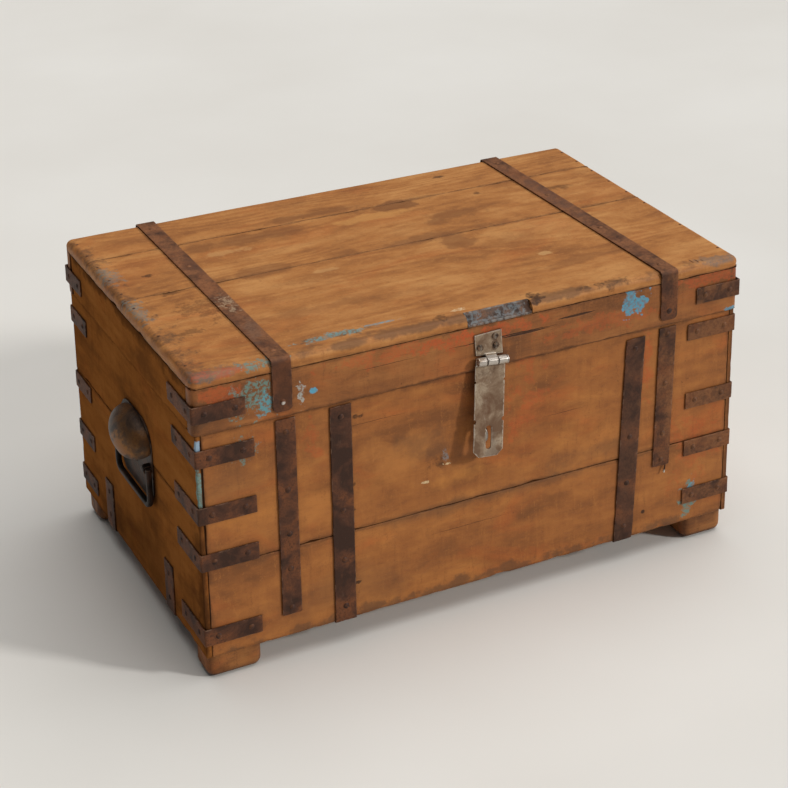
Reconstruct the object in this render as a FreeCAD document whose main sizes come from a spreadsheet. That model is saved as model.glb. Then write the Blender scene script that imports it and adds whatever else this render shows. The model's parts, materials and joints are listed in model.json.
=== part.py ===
"""Iron-strapped wooden trunk with feet, a hinged lid, a hasp and a drop handle at each end.

Millimetres. +X runs along the front to the right, +Y from the front to the back, +Z up.
The origin lies on the floor under the middle of the whole trunk.
"""
import FreeCAD, Part
import os
import re
import Sketcher

doc = FreeCAD.newDocument("strapped_trunk")

SIZES = {
    # Lid
    "lid_length": 760.0,
    "lid_depth": 476.0,
    "lid_height": 75.0,
    "lid_plank_thickness": 15.0,
    "lid_rail_thickness": 18.0,
    "lid_front_plank_depth": 245.0,
    "lid_back_plank_depth": 92.0,
    "lid_edge_round": 5.0,
    # Carcase
    "end_overhang": 3.0,
    "front_overhang": 3.0,
    "body_height": 303.0,
    "wall_thickness": 20.0,
    "corner_lap": 7.0,
    "wall_edge_round": 2.5,
    "front_lower_board_height": 123.0,
    "back_lower_board_height": 150.0,
    "end_lower_board_height": 186.0,
    "bottom_board_thickness": 15.0,
    "bottom_middle_board_depth": 156.0,
    # Feet
    "foot_height": 33.0,
    "left_foot_length": 71.0,
    "right_foot_length": 63.0,
    "foot_depth": 48.0,
    "foot_end_inset": 2.5,
    "foot_face_inset": 3.0,
    "foot_round": 11.0,
    # Straps
    "strap_thickness": 2.0,
    "strap_bend_round": 4.0,
    "strap_corner_round": 3.0,
    "strap_seam_gap": 4.0,
    "narrow_strap_width": 25.5,
    "left_narrow_strap_length": 268.0,
    "right_narrow_strap_length": 202.0,
    "left_narrow_strap_place": 103.0,
    "right_narrow_strap_place": 635.0,
    "right_narrow_strap_lean": 5.0,
    "under_strap_width": 28.5,
    "left_under_strap_place": 173.0,
    "right_under_strap_place": 577.0,
    "right_under_strap_lean": 13.0,
    "right_under_strap_gap": 9.0,
    "angle_strap_width": 30.0,
    "angle_strap_rise": 69.0,
    "angle_strap_return": 55.0,
    "front_angle_strap_place": 108.0,
    "back_angle_strap_place": 104.0,
    "corner_strap_width": 23.0,
    "corner_strap_face_arm": 73.0,
    "corner_strap_front_end_arm": 79.0,
    "corner_strap_back_end_arm": 64.0,
    "lid_corner_strap_width": 22.5,
    "lid_corner_strap_arm": 66.0,
    "lid_strap_width": 25.0,
    "lid_strap_drop": 67.0,
    "lid_strap_end_round": 7.0,
    "left_lid_strap_place": 100.0,
    "right_lid_strap_place": 629.0,
    "right_lid_strap_skew": 10.0,
    # Lid hinges
    "hinge_pin_radius": 3.0,
    "hinge_middle_knuckle": 9.0,
    "hinge_leaf_length": 190.0,
    "hinge_pin_head": 1.5,
    # Hasp
    "hasp_leaf_width": 42.0,
    "hasp_leaf_length": 126.0,
    "hasp_leaf_chamfer": 8.0,
    "hasp_plate_thickness": 2.0,
    "hasp_place": 388.3,
    "hasp_pin_drop": 62.0,
    "hasp_pin_radius": 3.4,
    "hasp_middle_knuckle": 15.0,
    "hasp_outer_knuckle": 12.0,
    "hasp_pin_head_length": 1.5,
    "hasp_slot_width": 8.0,
    "hasp_slot_height": 31.0,
    "hasp_slot_drop": 100.5,
    "hasp_notch_radius": 3.0,
    "hasp_notch_drop": 78.5,
    "hasp_upper_notch_radius": 1.8,
    "hasp_upper_notch_drop": 27.0,
    "hasp_skew": 5.5,
    "fixed_leaf_left": 19.5,
    "fixed_leaf_right": 18.0,
    "fixed_leaf_left_height": 27.5,
    "fixed_leaf_right_height": 32.5,
    "fixed_leaf_lean": 5.0,
    "left_screw_place": 15.0,
    "left_screw_rise": 16.5,
    "right_screw_place": 7.0,
    "right_screw_rise": 18.0,
    "top_screw_rise": 30.5,
    # Staple
    "staple_wire_radius": 2.25,
    "staple_span": 22.0,
    "staple_reach": 16.0,
    "staple_root": 14.5,
    # Old lock inlay on the lid's front edge
    "inlay_length": 90.0,
    "inlay_place": 359.5,
    "inlay_leg": 14.8,
    "inlay_thickness": 2.0,
    # Drop handles
    "handle_pivot_height": 213.5,
    "handle_place": 222.5,
    "handle_plate_width": 117.0,
    "handle_plate_rise": 59.5,
    "handle_plate_fall": 48.0,
    "handle_plate_top_round": 36.0,
    "handle_plate_bottom_round": 18.0,
    "handle_plate_thickness": 2.0,
    "hood_half_width": 56.5,
    "hood_half_height": 34.0,
    "hood_reach": 30.0,
    "hood_wall": 2.5,
    "hood_centre_rise": 25.5,
    "hood_skirt": 5.0,
    "hood_rim_slant": 32.0,
    "bail_bar": 7.5,
    "bail_bar_round": 2.5,
    "bail_width": 129.0,
    "bail_drop": 53.5,
    "bail_corner_round": 16.0,
    "bail_pin_radius": 3.0,
    "bail_pin_length": 14.0,
    "lug_width": 10.0,
    "lug_radius": 5.5,
    # Nails and screws
    "nail_head_radius": 4.0,
    "nail_head_height": 1.6,
    "nail_shank_radius": 1.5,
    "nail_length": 14.0,
    "plank_nail_radius": 1.8,
    "plank_nail_length": 30.0,
    "plank_nail_inset": 9.0,
    "screw_head_radius": 4.2,
    "screw_head_height": 1.4,
    "screw_slot_width": 0.9,
    "screw_slot_depth": 0.8,
    "screw_shank_radius": 1.7,
    "screw_length": 13.0,
    # Clearances
    "running_clearance": 0.08,
    "shank_clearance": 0.05,
    "knuckle_gap": 0.4,
    "face_gap": 0.3,
    "staple_gap": 1.5,
    "cut_overrun": 4.0,
}

sheet = doc.addObject("Spreadsheet::Sheet", "sizes")
for row, (size_name, size) in enumerate(SIZES.items(), start=1):
    sheet.set(f"A{row}", size_name)
    sheet.set(f"B{row}", str(size))
    sheet.setAlias(f"B{row}", size_name)
doc.recompute()

# Places worked out from the sizes
KNUCKLE_RADIUS = "(hinge_pin_radius + running_clearance + strap_thickness)"
HASP_KNUCKLE = "(hasp_pin_radius + running_clearance + hasp_plate_thickness)"
HASP_AXIS_OFF = f"({HASP_KNUCKLE} + hasp_plate_thickness + face_gap)"
LEAF_FLAT_GAP = f"({HASP_AXIS_OFF} + front_overhang - {HASP_KNUCKLE})"
HASP_TILT = f"asin((staple_reach + staple_gap - {LEAF_FLAT_GAP}) / hasp_slot_drop)"
LEAF_SWING_OUT = f"(hasp_leaf_length * sin({HASP_TILT}))"
LEAF_FACE_IN = f"(({HASP_KNUCKLE} - hasp_plate_thickness) * cos({HASP_TILT}))"
FRONT_REACH = f"({HASP_AXIS_OFF} + {LEAF_SWING_OUT} - {LEAF_FACE_IN})"
BACK_REACH = f"(2 * {KNUCKLE_RADIUS})"
LID_LEFT = "(-lid_length / 2)"
LID_FRONT = f"(({FRONT_REACH} - {BACK_REACH} - lid_depth) / 2)"
LID_BACK = f"({LID_FRONT} + lid_depth)"
SEAM = "(foot_height + body_height)"
LID_TOP = f"({SEAM} + lid_height)"
BODY_LENGTH = "(lid_length - 2 * end_overhang)"
BODY_DEPTH = "(lid_depth - front_overhang)"
BODY_LEFT = f"({LID_LEFT} + end_overhang)"
BODY_RIGHT = f"(-{BODY_LEFT})"
BODY_FRONT = f"({LID_FRONT} + front_overhang)"
BODY_BACK = LID_BACK
STRAP_TOP = f"({SEAM} - strap_seam_gap)"
HINGE_AXIS_Y = f"({LID_BACK} + {KNUCKLE_RADIUS})"
HASP_X = f"({LID_LEFT} + hasp_place)"
HASP_AXIS_Y = f"({LID_FRONT} - {HASP_AXIS_OFF})"
HASP_AXIS_Z = f"({LID_TOP} - hasp_pin_drop)"
SKEW_SIN = "sin(hasp_skew * 1deg)"
SKEW_COS = "cos(hasp_skew * 1deg)"
STAPLE_X = f"({HASP_X} - hasp_slot_drop * {SKEW_SIN})"
STAPLE_Z = f"({HASP_AXIS_Z} - hasp_slot_drop * {SKEW_COS})"

# Nail places along each strap, as shares of its length from the seam or the front
LEFT_NARROW_NAIL_SHARES = (0.065, 0.355, 0.58, 0.76, 0.965)
RIGHT_NARROW_NAIL_SHARES = (0.05, 0.40, 0.76, 0.955)
UNDER_NAIL_SHARES = (0.05, 0.48, 0.71, 0.93)
HINGE_LEAF_NAIL_SHARES = (0.12, 0.38, 0.66, 0.93)
LID_STRAP_NAIL_SHARES = (0.05, 0.35, 0.64, 0.94)
ANGLE_NAIL_SHARES = (0.28, 0.78)
ARM_NAIL_SHARES = (0.22, 0.80)
PLANK_NAIL_SHARES = (0.08, 0.27, 0.46, 0.56, 0.66, 0.76, 0.85, 0.94)

# Heights of the corner straps below the seam, as shares of the body's height
CORNER_STRAP_SHARES = {
    "front_left": (0.104, 0.353, 0.562, 0.902),
    "front_right": (0.066, 0.396, 0.629, 0.870),
    "back_left": (0.110, 0.433, 0.678, 0.903),
    "back_right": (0.095, 0.410, 0.655, 0.890),
}
# Heights of the lid's corner straps above the seam, as shares of the lid's height
LID_CORNER_STRAP_SHARES = {
    "front_left": 0.37,
    "front_right": 0.418,
    "back_left": 0.345,
    "back_right": 0.36,
}

# Places closer than this are the same place, in millimetres
SAME_PLACE = 0.0001

nodes = {}
nails = {}


def bind(expression):
    """Writes an expression of size names with the sheet's name before each."""
    return re.sub(r"[a-z]\w*", lambda word: f"sizes.{word[0]}" if word[0] in SIZES else word[0], expression)


def measure(expression):
    """Gives an expression's value in millimetres, or in degrees for an angle."""
    value = sheet.evalExpression(expression)
    return float(getattr(value, "Value", value))


def point(x, y, z):
    """Gives the place at three expressions."""
    return FreeCAD.Vector(measure(x), measure(y), measure(z))


def tie(item, **places):
    """Binds an object's properties to expressions, with dots written as double underscores."""
    for name, expression in places.items():
        item.setExpression(name.replace("__", "."), bind(expression))


def put(item, x="0", y="0", z="0", turn=0.0, about=FreeCAD.Vector(0, 0, 1)):
    """Places an object at bound coordinates, turned about an axis through its own origin."""
    item.Placement = FreeCAD.Placement(FreeCAD.Vector(), FreeCAD.Rotation(about, turn))
    tie(item, Placement__Base__x=x, Placement__Base__y=y, Placement__Base__z=z)
    return item


def new_body(label):
    """Adds an empty body."""
    body = doc.addObject("PartDesign::Body", label)
    body.Label = label
    return body


def sketch_on(body, plane, start):
    """Adds a sketch on one of the body's own planes, moved along the plane's axis to start."""
    sketch = body.newObject("Sketcher::SketchObject", f"{body.Name}_outline")
    origin_plane = next(item for item in body.Origin.OriginFeatures if item.Role == plane)
    sketch.AttachmentSupport = (origin_plane, "")
    sketch.MapMode = "FlatFace"
    along = "-" if plane == "XZ_Plane" else ""
    tie(sketch, AttachmentOffset__Base__z=f"{along}({start})")
    return sketch


def fix(sketch, kind, geometry, place, expression):
    """Holds one measure of a sketch at an expression's value."""
    if kind == "Radius":
        constraint = Sketcher.Constraint(kind, geometry, measure(expression))
    else:
        constraint = Sketcher.Constraint(kind, -1, 1, geometry, place, measure(expression))
    index = sketch.addConstraint(constraint)
    sketch.setExpression(f"Constraints[{index}]", bind(expression))


def draw_outline(sketch, corners):
    """Draws a closed outline of straight lines through corners given as pairs of expressions."""
    places = [FreeCAD.Vector(measure(u), measure(v), 0) for u, v in corners]
    for start, end in zip(places, places[1:] + places[:1]):
        sketch.addGeometry(Part.LineSegment(start, end), False)
    for index, (u, v) in enumerate(corners):
        before = (index - 1) % len(corners)
        sketch.addConstraint(Sketcher.Constraint("Coincident", before, 2, index, 1))
        fix(sketch, "DistanceX", index, 1, u)
        fix(sketch, "DistanceY", index, 1, v)


def draw_circle(sketch, u, v, radius):
    """Draws a circle about a centre."""
    centre = FreeCAD.Vector(measure(u), measure(v), 0)
    normal = FreeCAD.Vector(0, 0, 1)
    index = sketch.addGeometry(Part.Circle(centre, normal, measure(radius)), False)
    fix(sketch, "DistanceX", index, 3, u)
    fix(sketch, "DistanceY", index, 3, v)
    fix(sketch, "Radius", index, 0, radius)


def rectangle(u0, v0, u1, v1):
    """Gives a rectangle's corners from its low and its high one."""
    return [(u0, v0), (u1, v0), (u1, v1), (u0, v1)]


def extrude(body, plane, length, start="0", outline=None, circles=()):
    """Pads an outline or circles along the plane's positive axis."""
    sketch = sketch_on(body, plane, start)
    if outline:
        draw_outline(sketch, outline)
    for circle in circles:
        draw_circle(sketch, *circle)
    pad = body.newObject("PartDesign::Pad", f"{body.Name}_pad")
    pad.Profile = sketch
    pad.Reversed = plane == "XZ_Plane"
    tie(pad, Length=length)
    sketch.Visibility = False
    return pad


def carve(body, plane, length, start="0", outline=None, circles=()):
    """Pockets an outline or circles along the plane's positive axis, and checks that it cuts."""
    doc.recompute()
    before = body.Shape.Volume
    sketch = sketch_on(body, plane, start)
    if outline:
        draw_outline(sketch, outline)
    for circle in circles:
        draw_circle(sketch, *circle)
    pocket = body.newObject("PartDesign::Pocket", f"{body.Name}_pocket")
    pocket.Profile = sketch
    pocket.Reversed = plane != "XZ_Plane"
    tie(pocket, Length=length)
    doc.recompute()
    if not body.Shape.Volume < before:
        raise RuntimeError(f"the cut in {body.Label} removes nothing")
    return pocket


def round_edges(body, radius, *lines):
    """Fillets the straight edges that lie on the given lines.

    Each line is a dict of the two coordinates that stay the same along it, such as
    {"x": "0", "z": "foot_height"}, as expressions in the body's own frame.
    """
    doc.recompute()
    tip = body.Tip
    names = []
    for number, edge in enumerate(tip.Shape.Edges, start=1):
        ends = [vertex.Point for vertex in edge.Vertexes]
        for line in lines:
            on_line = all(
                abs(getattr(end, axis) - measure(place)) < SAME_PLACE
                for end in ends
                for axis, place in line.items()
            )
            if len(ends) == 2 and on_line:
                names.append(f"Edge{number}")
    if not names:
        raise RuntimeError(f"no edge to round on {body.Label}")
    fillet = body.newObject("PartDesign::Fillet", f"{body.Name}_fillet")
    fillet.Base = (tip, names)
    tie(fillet, Radius=radius)
    doc.recompute()
    return fillet


def keep(label, item):
    """Registers an object as the sub-part named label."""
    item.Label = label
    nodes[label] = item
    return item


def fuse(label, *items):
    """Joins touching shapes into one."""
    union = doc.addObject("Part::MultiFuse", f"{label}_union")
    union.Shapes = list(items)
    return union


def cut(label, base, tool):
    """Takes a tool's shape away from a base."""
    result = doc.addObject("Part::Cut", f"{label}_cut")
    result.Base = base
    result.Tool = tool
    return result


def cylinder(label, radius, length, x, y, z, along):
    """Makes a cylinder from a place along +X, +Y or +Z."""
    turns = {
        "x": (FreeCAD.Vector(0, 1, 0), 90),
        "y": (FreeCAD.Vector(1, 0, 0), -90),
        "z": (FreeCAD.Vector(0, 0, 1), 0),
    }
    about, angle = turns[along]
    item = doc.addObject("Part::Cylinder", label)
    tie(item, Radius=radius, Height=length)
    return put(item, x, y, z, angle, about)


def group(label, items):
    """Joins identical pieces as separate solids of one sub-part."""
    compound = doc.addObject("Part::Compound", f"{label}_group")
    compound.Links = list(items)
    return compound


# Wood


def board(label, x, y, z, length, depth, height, rounds=()):
    """Makes a board from its low corner, with rounded edges.

    Each round names two sides that meet at the edge, such as "front top".
    """
    body = new_body(f"{label}_board")
    extrude(body, "XY_Plane", height, outline=rectangle("0", "0", length, depth))
    sides = {
        "left": {"x": "0"}, "right": {"x": length}, "front": {"y": "0"},
        "back": {"y": depth}, "bottom": {"z": "0"}, "top": {"z": height},
    }
    by_radius = {}
    for radius, edge in rounds:
        first, second = edge.split()
        by_radius.setdefault(radius, []).append({**sides[first], **sides[second]})
    for radius, lines in by_radius.items():
        round_edges(body, radius, *lines)
    put(body, x, y, z)
    return keep(label, body)


def front_and_back_boards():
    """The front and the back are each two boards, one above the other."""
    x = f"{BODY_LEFT} + corner_lap"
    length = f"({BODY_LENGTH} - 2 * corner_lap)"
    walls = (
        ("front", BODY_FRONT, "front_lower_board_height", "front"),
        ("back", f"{BODY_BACK} - wall_thickness", "back_lower_board_height", "back"),
    )
    for wall, y, lower_height, outside in walls:
        board(f"{wall}_lower_board", x, y, "foot_height", length, "wall_thickness",
              lower_height, [("wall_edge_round", f"{outside} bottom")])
        board(f"{wall}_upper_board", x, y, f"foot_height + {lower_height}", length,
              "wall_thickness", f"(body_height - {lower_height})")


def end_boards():
    """The end boards run past the front and back boards, whose ends lie in their rebates."""
    thick = "wall_thickness"
    plan = [
        ("0", "0"), ("corner_lap", "0"), ("corner_lap", thick), (thick, thick),
        (thick, f"{BODY_DEPTH} - {thick}"), ("corner_lap", f"{BODY_DEPTH} - {thick}"),
        ("corner_lap", BODY_DEPTH), ("0", BODY_DEPTH),
    ]
    upper_height = "(body_height - end_lower_board_height)"
    levels = (
        ("lower", "foot_height", "end_lower_board_height"),
        ("upper", "foot_height + end_lower_board_height", upper_height),
    )
    for level, z, height in levels:
        for end, x, y, turn in (("left", BODY_LEFT, BODY_FRONT, 0), ("right", BODY_RIGHT, BODY_BACK, 180)):
            label = f"{end}_{level}_board"
            body = new_body(f"{label}_board")
            extrude(body, "XY_Plane", height, outline=plan)
            round_edges(body, "wall_edge_round", {"x": "0", "y": "0"}, {"x": "0", "y": BODY_DEPTH})
            keep(label, put(body, x, y, z, turn))


def bottom_boards():
    """The bottom lies between the walls, level with their lower edges."""
    inside_depth = f"({BODY_DEPTH} - 2 * wall_thickness)"
    outer_depth = f"(({inside_depth} - bottom_middle_board_depth) / 2)"
    inside_front = f"({BODY_FRONT} + wall_thickness)"
    rows = (
        ("bottom_front_board", inside_front, outer_depth),
        ("bottom_middle_board", f"{inside_front} + {outer_depth}", "bottom_middle_board_depth"),
        ("bottom_back_board", f"{inside_front} + {outer_depth} + bottom_middle_board_depth", outer_depth),
    )
    for label, y, depth in rows:
        board(label, f"{BODY_LEFT} + wall_thickness", y, "foot_height",
              f"({BODY_LENGTH} - 2 * wall_thickness)", depth, "bottom_board_thickness")


def feet():
    """Block feet under the corners, their lower edges rounded."""
    xs = {
        "left": f"{BODY_LEFT} + foot_end_inset",
        "right": f"{BODY_RIGHT} - foot_end_inset - right_foot_length",
    }
    ys = {
        "front": f"{BODY_FRONT} + foot_face_inset",
        "back": f"{BODY_BACK} - foot_face_inset - foot_depth",
    }
    inner = {"front": "back", "back": "front"}
    for side, y in ys.items():
        rounds = [("foot_round", f"{edge} bottom") for edge in ("left", "right", inner[side])]
        for end, x in xs.items():
            board(f"{side}_{end}_foot", x, y, "0", f"{end}_foot_length", "foot_depth", "foot_height", rounds)


def lid_planks():
    """Three planks lie side by side on the lid's rails."""
    middle_depth = "(lid_depth - lid_front_plank_depth - lid_back_plank_depth)"
    z = f"{LID_TOP} - lid_plank_thickness"
    rows = (
        ("lid_front_plank", LID_FRONT, "lid_front_plank_depth", ["front top"]),
        ("lid_middle_plank", f"{LID_FRONT} + lid_front_plank_depth", middle_depth, []),
        ("lid_back_plank", f"{LID_BACK} - lid_back_plank_depth", "lid_back_plank_depth", ["back top"]),
    )
    for label, y, depth, outer_edges in rows:
        rounds = [("lid_edge_round", edge) for edge in outer_edges + ["left top", "right top"]]
        board(label, LID_LEFT, y, z, "lid_length", depth, "lid_plank_thickness", rounds)
    seat_inlay()


def inlay_chamfer(inner, outer):
    """Gives a strip across the lid's front top edge between two legs measured from the edge."""
    return [
        (f"{LID_FRONT} + {outer}", LID_TOP), (f"{LID_FRONT} + {inner}", LID_TOP),
        (LID_FRONT, f"{LID_TOP} - {inner}"), (LID_FRONT, f"{LID_TOP} - {outer}"),
    ]


def seat_inlay():
    """Cuts the sloping seat of the old lock inlay into the lid's front edge, and fills it."""
    plank = nodes["lid_front_plank"]
    plank.Label = "lid_front_plank_blank"
    wedge = new_body("inlay_seat")
    corner = (f"{LID_FRONT} - cut_overrun", f"{LID_TOP} + cut_overrun")
    extrude(wedge, "YZ_Plane", "inlay_length", outline=[
        corner,
        (f"{LID_FRONT} + inlay_leg + cut_overrun", f"{LID_TOP} + cut_overrun"),
        (f"{LID_FRONT} + inlay_leg", LID_TOP),
        (LID_FRONT, f"{LID_TOP} - inlay_leg"),
        (f"{LID_FRONT} - cut_overrun", f"{LID_TOP} - inlay_leg - cut_overrun"),
    ])
    put(wedge, f"{LID_LEFT} + inlay_place")
    keep("lid_front_plank", cut("lid_front_plank", plank, wedge))
    plate = new_body("old_lock_inlay")
    shallow = "(inlay_leg - inlay_thickness * sqrt(2))"
    extrude(plate, "YZ_Plane", "inlay_length", outline=inlay_chamfer("inlay_leg", shallow))
    keep("old_lock_inlay", put(plate, f"{LID_LEFT} + inlay_place"))


def lid_rails():
    """Four rails on edge form the lid's rim."""
    height = "(lid_height - lid_plank_thickness)"
    thick = "lid_rail_thickness"
    for side, y, outside in (("front", LID_FRONT, "front"), ("back", f"{LID_BACK} - {thick}", "back")):
        rounds = [("wall_edge_round", f"left {outside}"), ("wall_edge_round", f"right {outside}")]
        board(f"lid_{side}_rail", LID_LEFT, y, SEAM, "lid_length", thick, height, rounds)
    for end, x in (("left", LID_LEFT), ("right", f"-{LID_LEFT} - {thick}")):
        length = f"(lid_depth - 2 * {thick})"
        board(f"lid_{end}_rail", x, f"{LID_FRONT} + {thick}", SEAM, thick, length, height)


# Iron straps


def narrow_strap(end, lean, nail_shares):
    """Makes a plain strap on the front boards, whose top leans to the right."""
    label = f"front_{end}_narrow_strap"
    width = "narrow_strap_width"
    length = f"{end}_narrow_strap_length"
    x = f"{LID_LEFT} + {end}_narrow_strap_place"
    y = f"{BODY_FRONT} - strap_thickness"
    body = new_body(f"{label}_iron")
    corners = [("0", "0"), (width, "0"), (f"{width} + {lean}", length), (lean, length)]
    extrude(body, "XZ_Plane", "strap_thickness", outline=corners)
    round_edges(body, "strap_corner_round", {"x": "0", "z": "0"}, {"x": width, "z": "0"})
    put(body, x, y, f"{STRAP_TOP} - {length}")
    for share in nail_shares:
        place = point(f"{x} + {width} / 2 + {lean} * {1 - share}", y, f"{STRAP_TOP} - {share} * {length}")
        add_nail("body_strap_nails", place, FreeCAD.Vector(0, 1, 0))
    keep(label, body)


def narrow_straps():
    """The left narrow strap is the longer one."""
    narrow_strap("left", "0", LEFT_NARROW_NAIL_SHARES)
    narrow_strap("right", "right_narrow_strap_lean", RIGHT_NARROW_NAIL_SHARES)


def under_strap(label, place, lean, gap):
    """A strap that runs down the front, under the bottom and up the back."""
    thick = "strap_thickness"
    body = new_body(f"{label}_iron")
    low = f"foot_height - {thick}"
    high = f"({SEAM} - {gap})"
    extrude(body, "YZ_Plane", f"under_strap_width + {lean}", outline=[
        (f"{BODY_FRONT} - {thick}", low), (f"{BODY_BACK} + {thick}", low),
        (f"{BODY_BACK} + {thick}", high), (BODY_BACK, high),
        (BODY_BACK, "foot_height"), (BODY_FRONT, "foot_height"),
        (BODY_FRONT, high), (f"{BODY_FRONT} - {thick}", high),
    ])
    round_edges(body, "strap_bend_round", {"y": f"{BODY_FRONT} - {thick}", "z": low},
                {"y": f"{BODY_BACK} + {thick}", "z": low})
    if measure(lean) > 0:
        through = f"({BODY_DEPTH} + 2 * ({thick} + cut_overrun))"
        start = f"{BODY_FRONT} - {thick} - cut_overrun"
        left = [("-cut_overrun", "foot_height"), ("0", "foot_height"), (lean, high),
                (lean, f"{high} + cut_overrun"), ("-cut_overrun", f"{high} + cut_overrun")]
        right = [("under_strap_width", "foot_height - strap_thickness - cut_overrun"),
                 (f"under_strap_width + {lean} + cut_overrun", "foot_height - strap_thickness - cut_overrun"),
                 (f"under_strap_width + {lean} + cut_overrun", high),
                 (f"under_strap_width + {lean}", high), ("under_strap_width", "foot_height")]
        carve(body, "XZ_Plane", through, start, outline=left)
        carve(body, "XZ_Plane", through, start, outline=right)
    put(body, place)
    height = f"({high} - foot_height)"
    for share in UNDER_NAIL_SHARES:
        x = f"{place} + under_strap_width / 2 + {lean} * {1 - share}"
        z = f"{high} - {share} * {height}"
        add_nail("body_strap_nails", point(x, f"{BODY_FRONT} - {thick}", z), FreeCAD.Vector(0, 1, 0))
        add_nail("body_strap_nails", point(x, f"{BODY_BACK} + {thick}", z), FreeCAD.Vector(0, -1, 0))
    keep(label, body)


def angle_straps():
    """Short straps turned up from under the bottom against each end."""
    thick = "strap_thickness"
    depth = "angle_strap_width"
    for end, x, side in (("left", BODY_LEFT, 1), ("right", BODY_RIGHT, -1)):
        pieces = []
        for place in ("front_angle_strap_place", f"{BODY_DEPTH} - back_angle_strap_place - {depth}"):
            body = new_body(f"{end}_angle_strap")
            rise = "foot_height + angle_strap_rise"
            low = f"foot_height - {thick}"
            extrude(body, "XZ_Plane", depth, outline=[
                (f"{-side} * {thick}", low), (f"{side} * angle_strap_return", low),
                (f"{side} * angle_strap_return", "foot_height"), ("0", "foot_height"),
                ("0", rise), (f"{-side} * {thick}", rise),
            ])
            round_edges(body, "strap_bend_round", {"x": f"{-side} * {thick}", "z": low})
            y = f"{BODY_FRONT} + {place}"
            pieces.append(put(body, x, y))
            for share in ANGLE_NAIL_SHARES:
                z = f"foot_height + {share} * angle_strap_rise"
                spot = point(f"{x} - {side} * {thick}", f"{y} + {depth} / 2", z)
                add_nail("body_strap_nails", spot, FreeCAD.Vector(side, 0, 0))
        keep(f"{end}_angle_straps", group(f"{end}_angle_straps", pieces))


def corner_piece(label, x, y, z, along, inward, face_arm, end_arm, width, nail_group):
    """An iron strap bent round a vertical corner, with two nails in each arm.

    along is +1 or -1 for the face arm's direction in X, inward the same for the end arm in Y.
    """
    thick = "strap_thickness"
    body = new_body(label)
    extrude(body, "XY_Plane", width, outline=[
        (f"{-along} * {thick}", f"{-inward} * {thick}"), (f"{along} * {face_arm}", f"{-inward} * {thick}"),
        (f"{along} * {face_arm}", "0"), ("0", "0"),
        ("0", f"{inward} * {end_arm}"), (f"{-along} * {thick}", f"{inward} * {end_arm}"),
    ])
    round_edges(body, "strap_corner_round", {"x": f"{-along} * {thick}", "y": f"{-inward} * {thick}"})
    put(body, x, y, f"{z} - {width} / 2")
    for share in ARM_NAIL_SHARES:
        on_face = point(f"{x} + {along * share} * {face_arm}", f"{y} - {inward} * {thick}", z)
        on_end = point(f"{x} - {along} * {thick}", f"{y} + {inward * share} * {end_arm}", z)
        add_nail(nail_group, on_face, FreeCAD.Vector(0, inward, 0))
        add_nail(nail_group, on_end, FreeCAD.Vector(along, 0, 0))
    return body


def corner_straps():
    """Four straps round each corner of the body, one round each of the lid."""
    end_arms = {"front": "corner_strap_front_end_arm", "back": "corner_strap_back_end_arm"}
    for corner, shares in CORNER_STRAP_SHARES.items():
        side, end = corner.split("_")
        x, along = (BODY_LEFT, 1) if end == "left" else (BODY_RIGHT, -1)
        y, inward = (BODY_FRONT, 1) if side == "front" else (BODY_BACK, -1)
        pieces = [
            corner_piece(f"{corner}_corner_strap", x, y, f"{SEAM} - {share} * body_height", along, inward,
                         "corner_strap_face_arm", end_arms[side], "corner_strap_width", "body_strap_nails")
            for share in shares
        ]
        keep(f"{corner}_corner_straps", group(f"{corner}_corner_straps", pieces))
    for corner, share in LID_CORNER_STRAP_SHARES.items():
        side, end = corner.split("_")
        x, along = (LID_LEFT, 1) if end == "left" else (f"(-{LID_LEFT})", -1)
        y, inward = (LID_FRONT, 1) if side == "front" else (LID_BACK, -1)
        z = f"{SEAM} + {share} * lid_height"
        body = corner_piece(f"lid_{corner}_strap_iron", x, y, z, along, inward, "lid_corner_strap_arm",
                            end_arms[side], "lid_corner_strap_width", "lid_strap_nails")
        keep(f"lid_{corner}_corner_strap", body)


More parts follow.
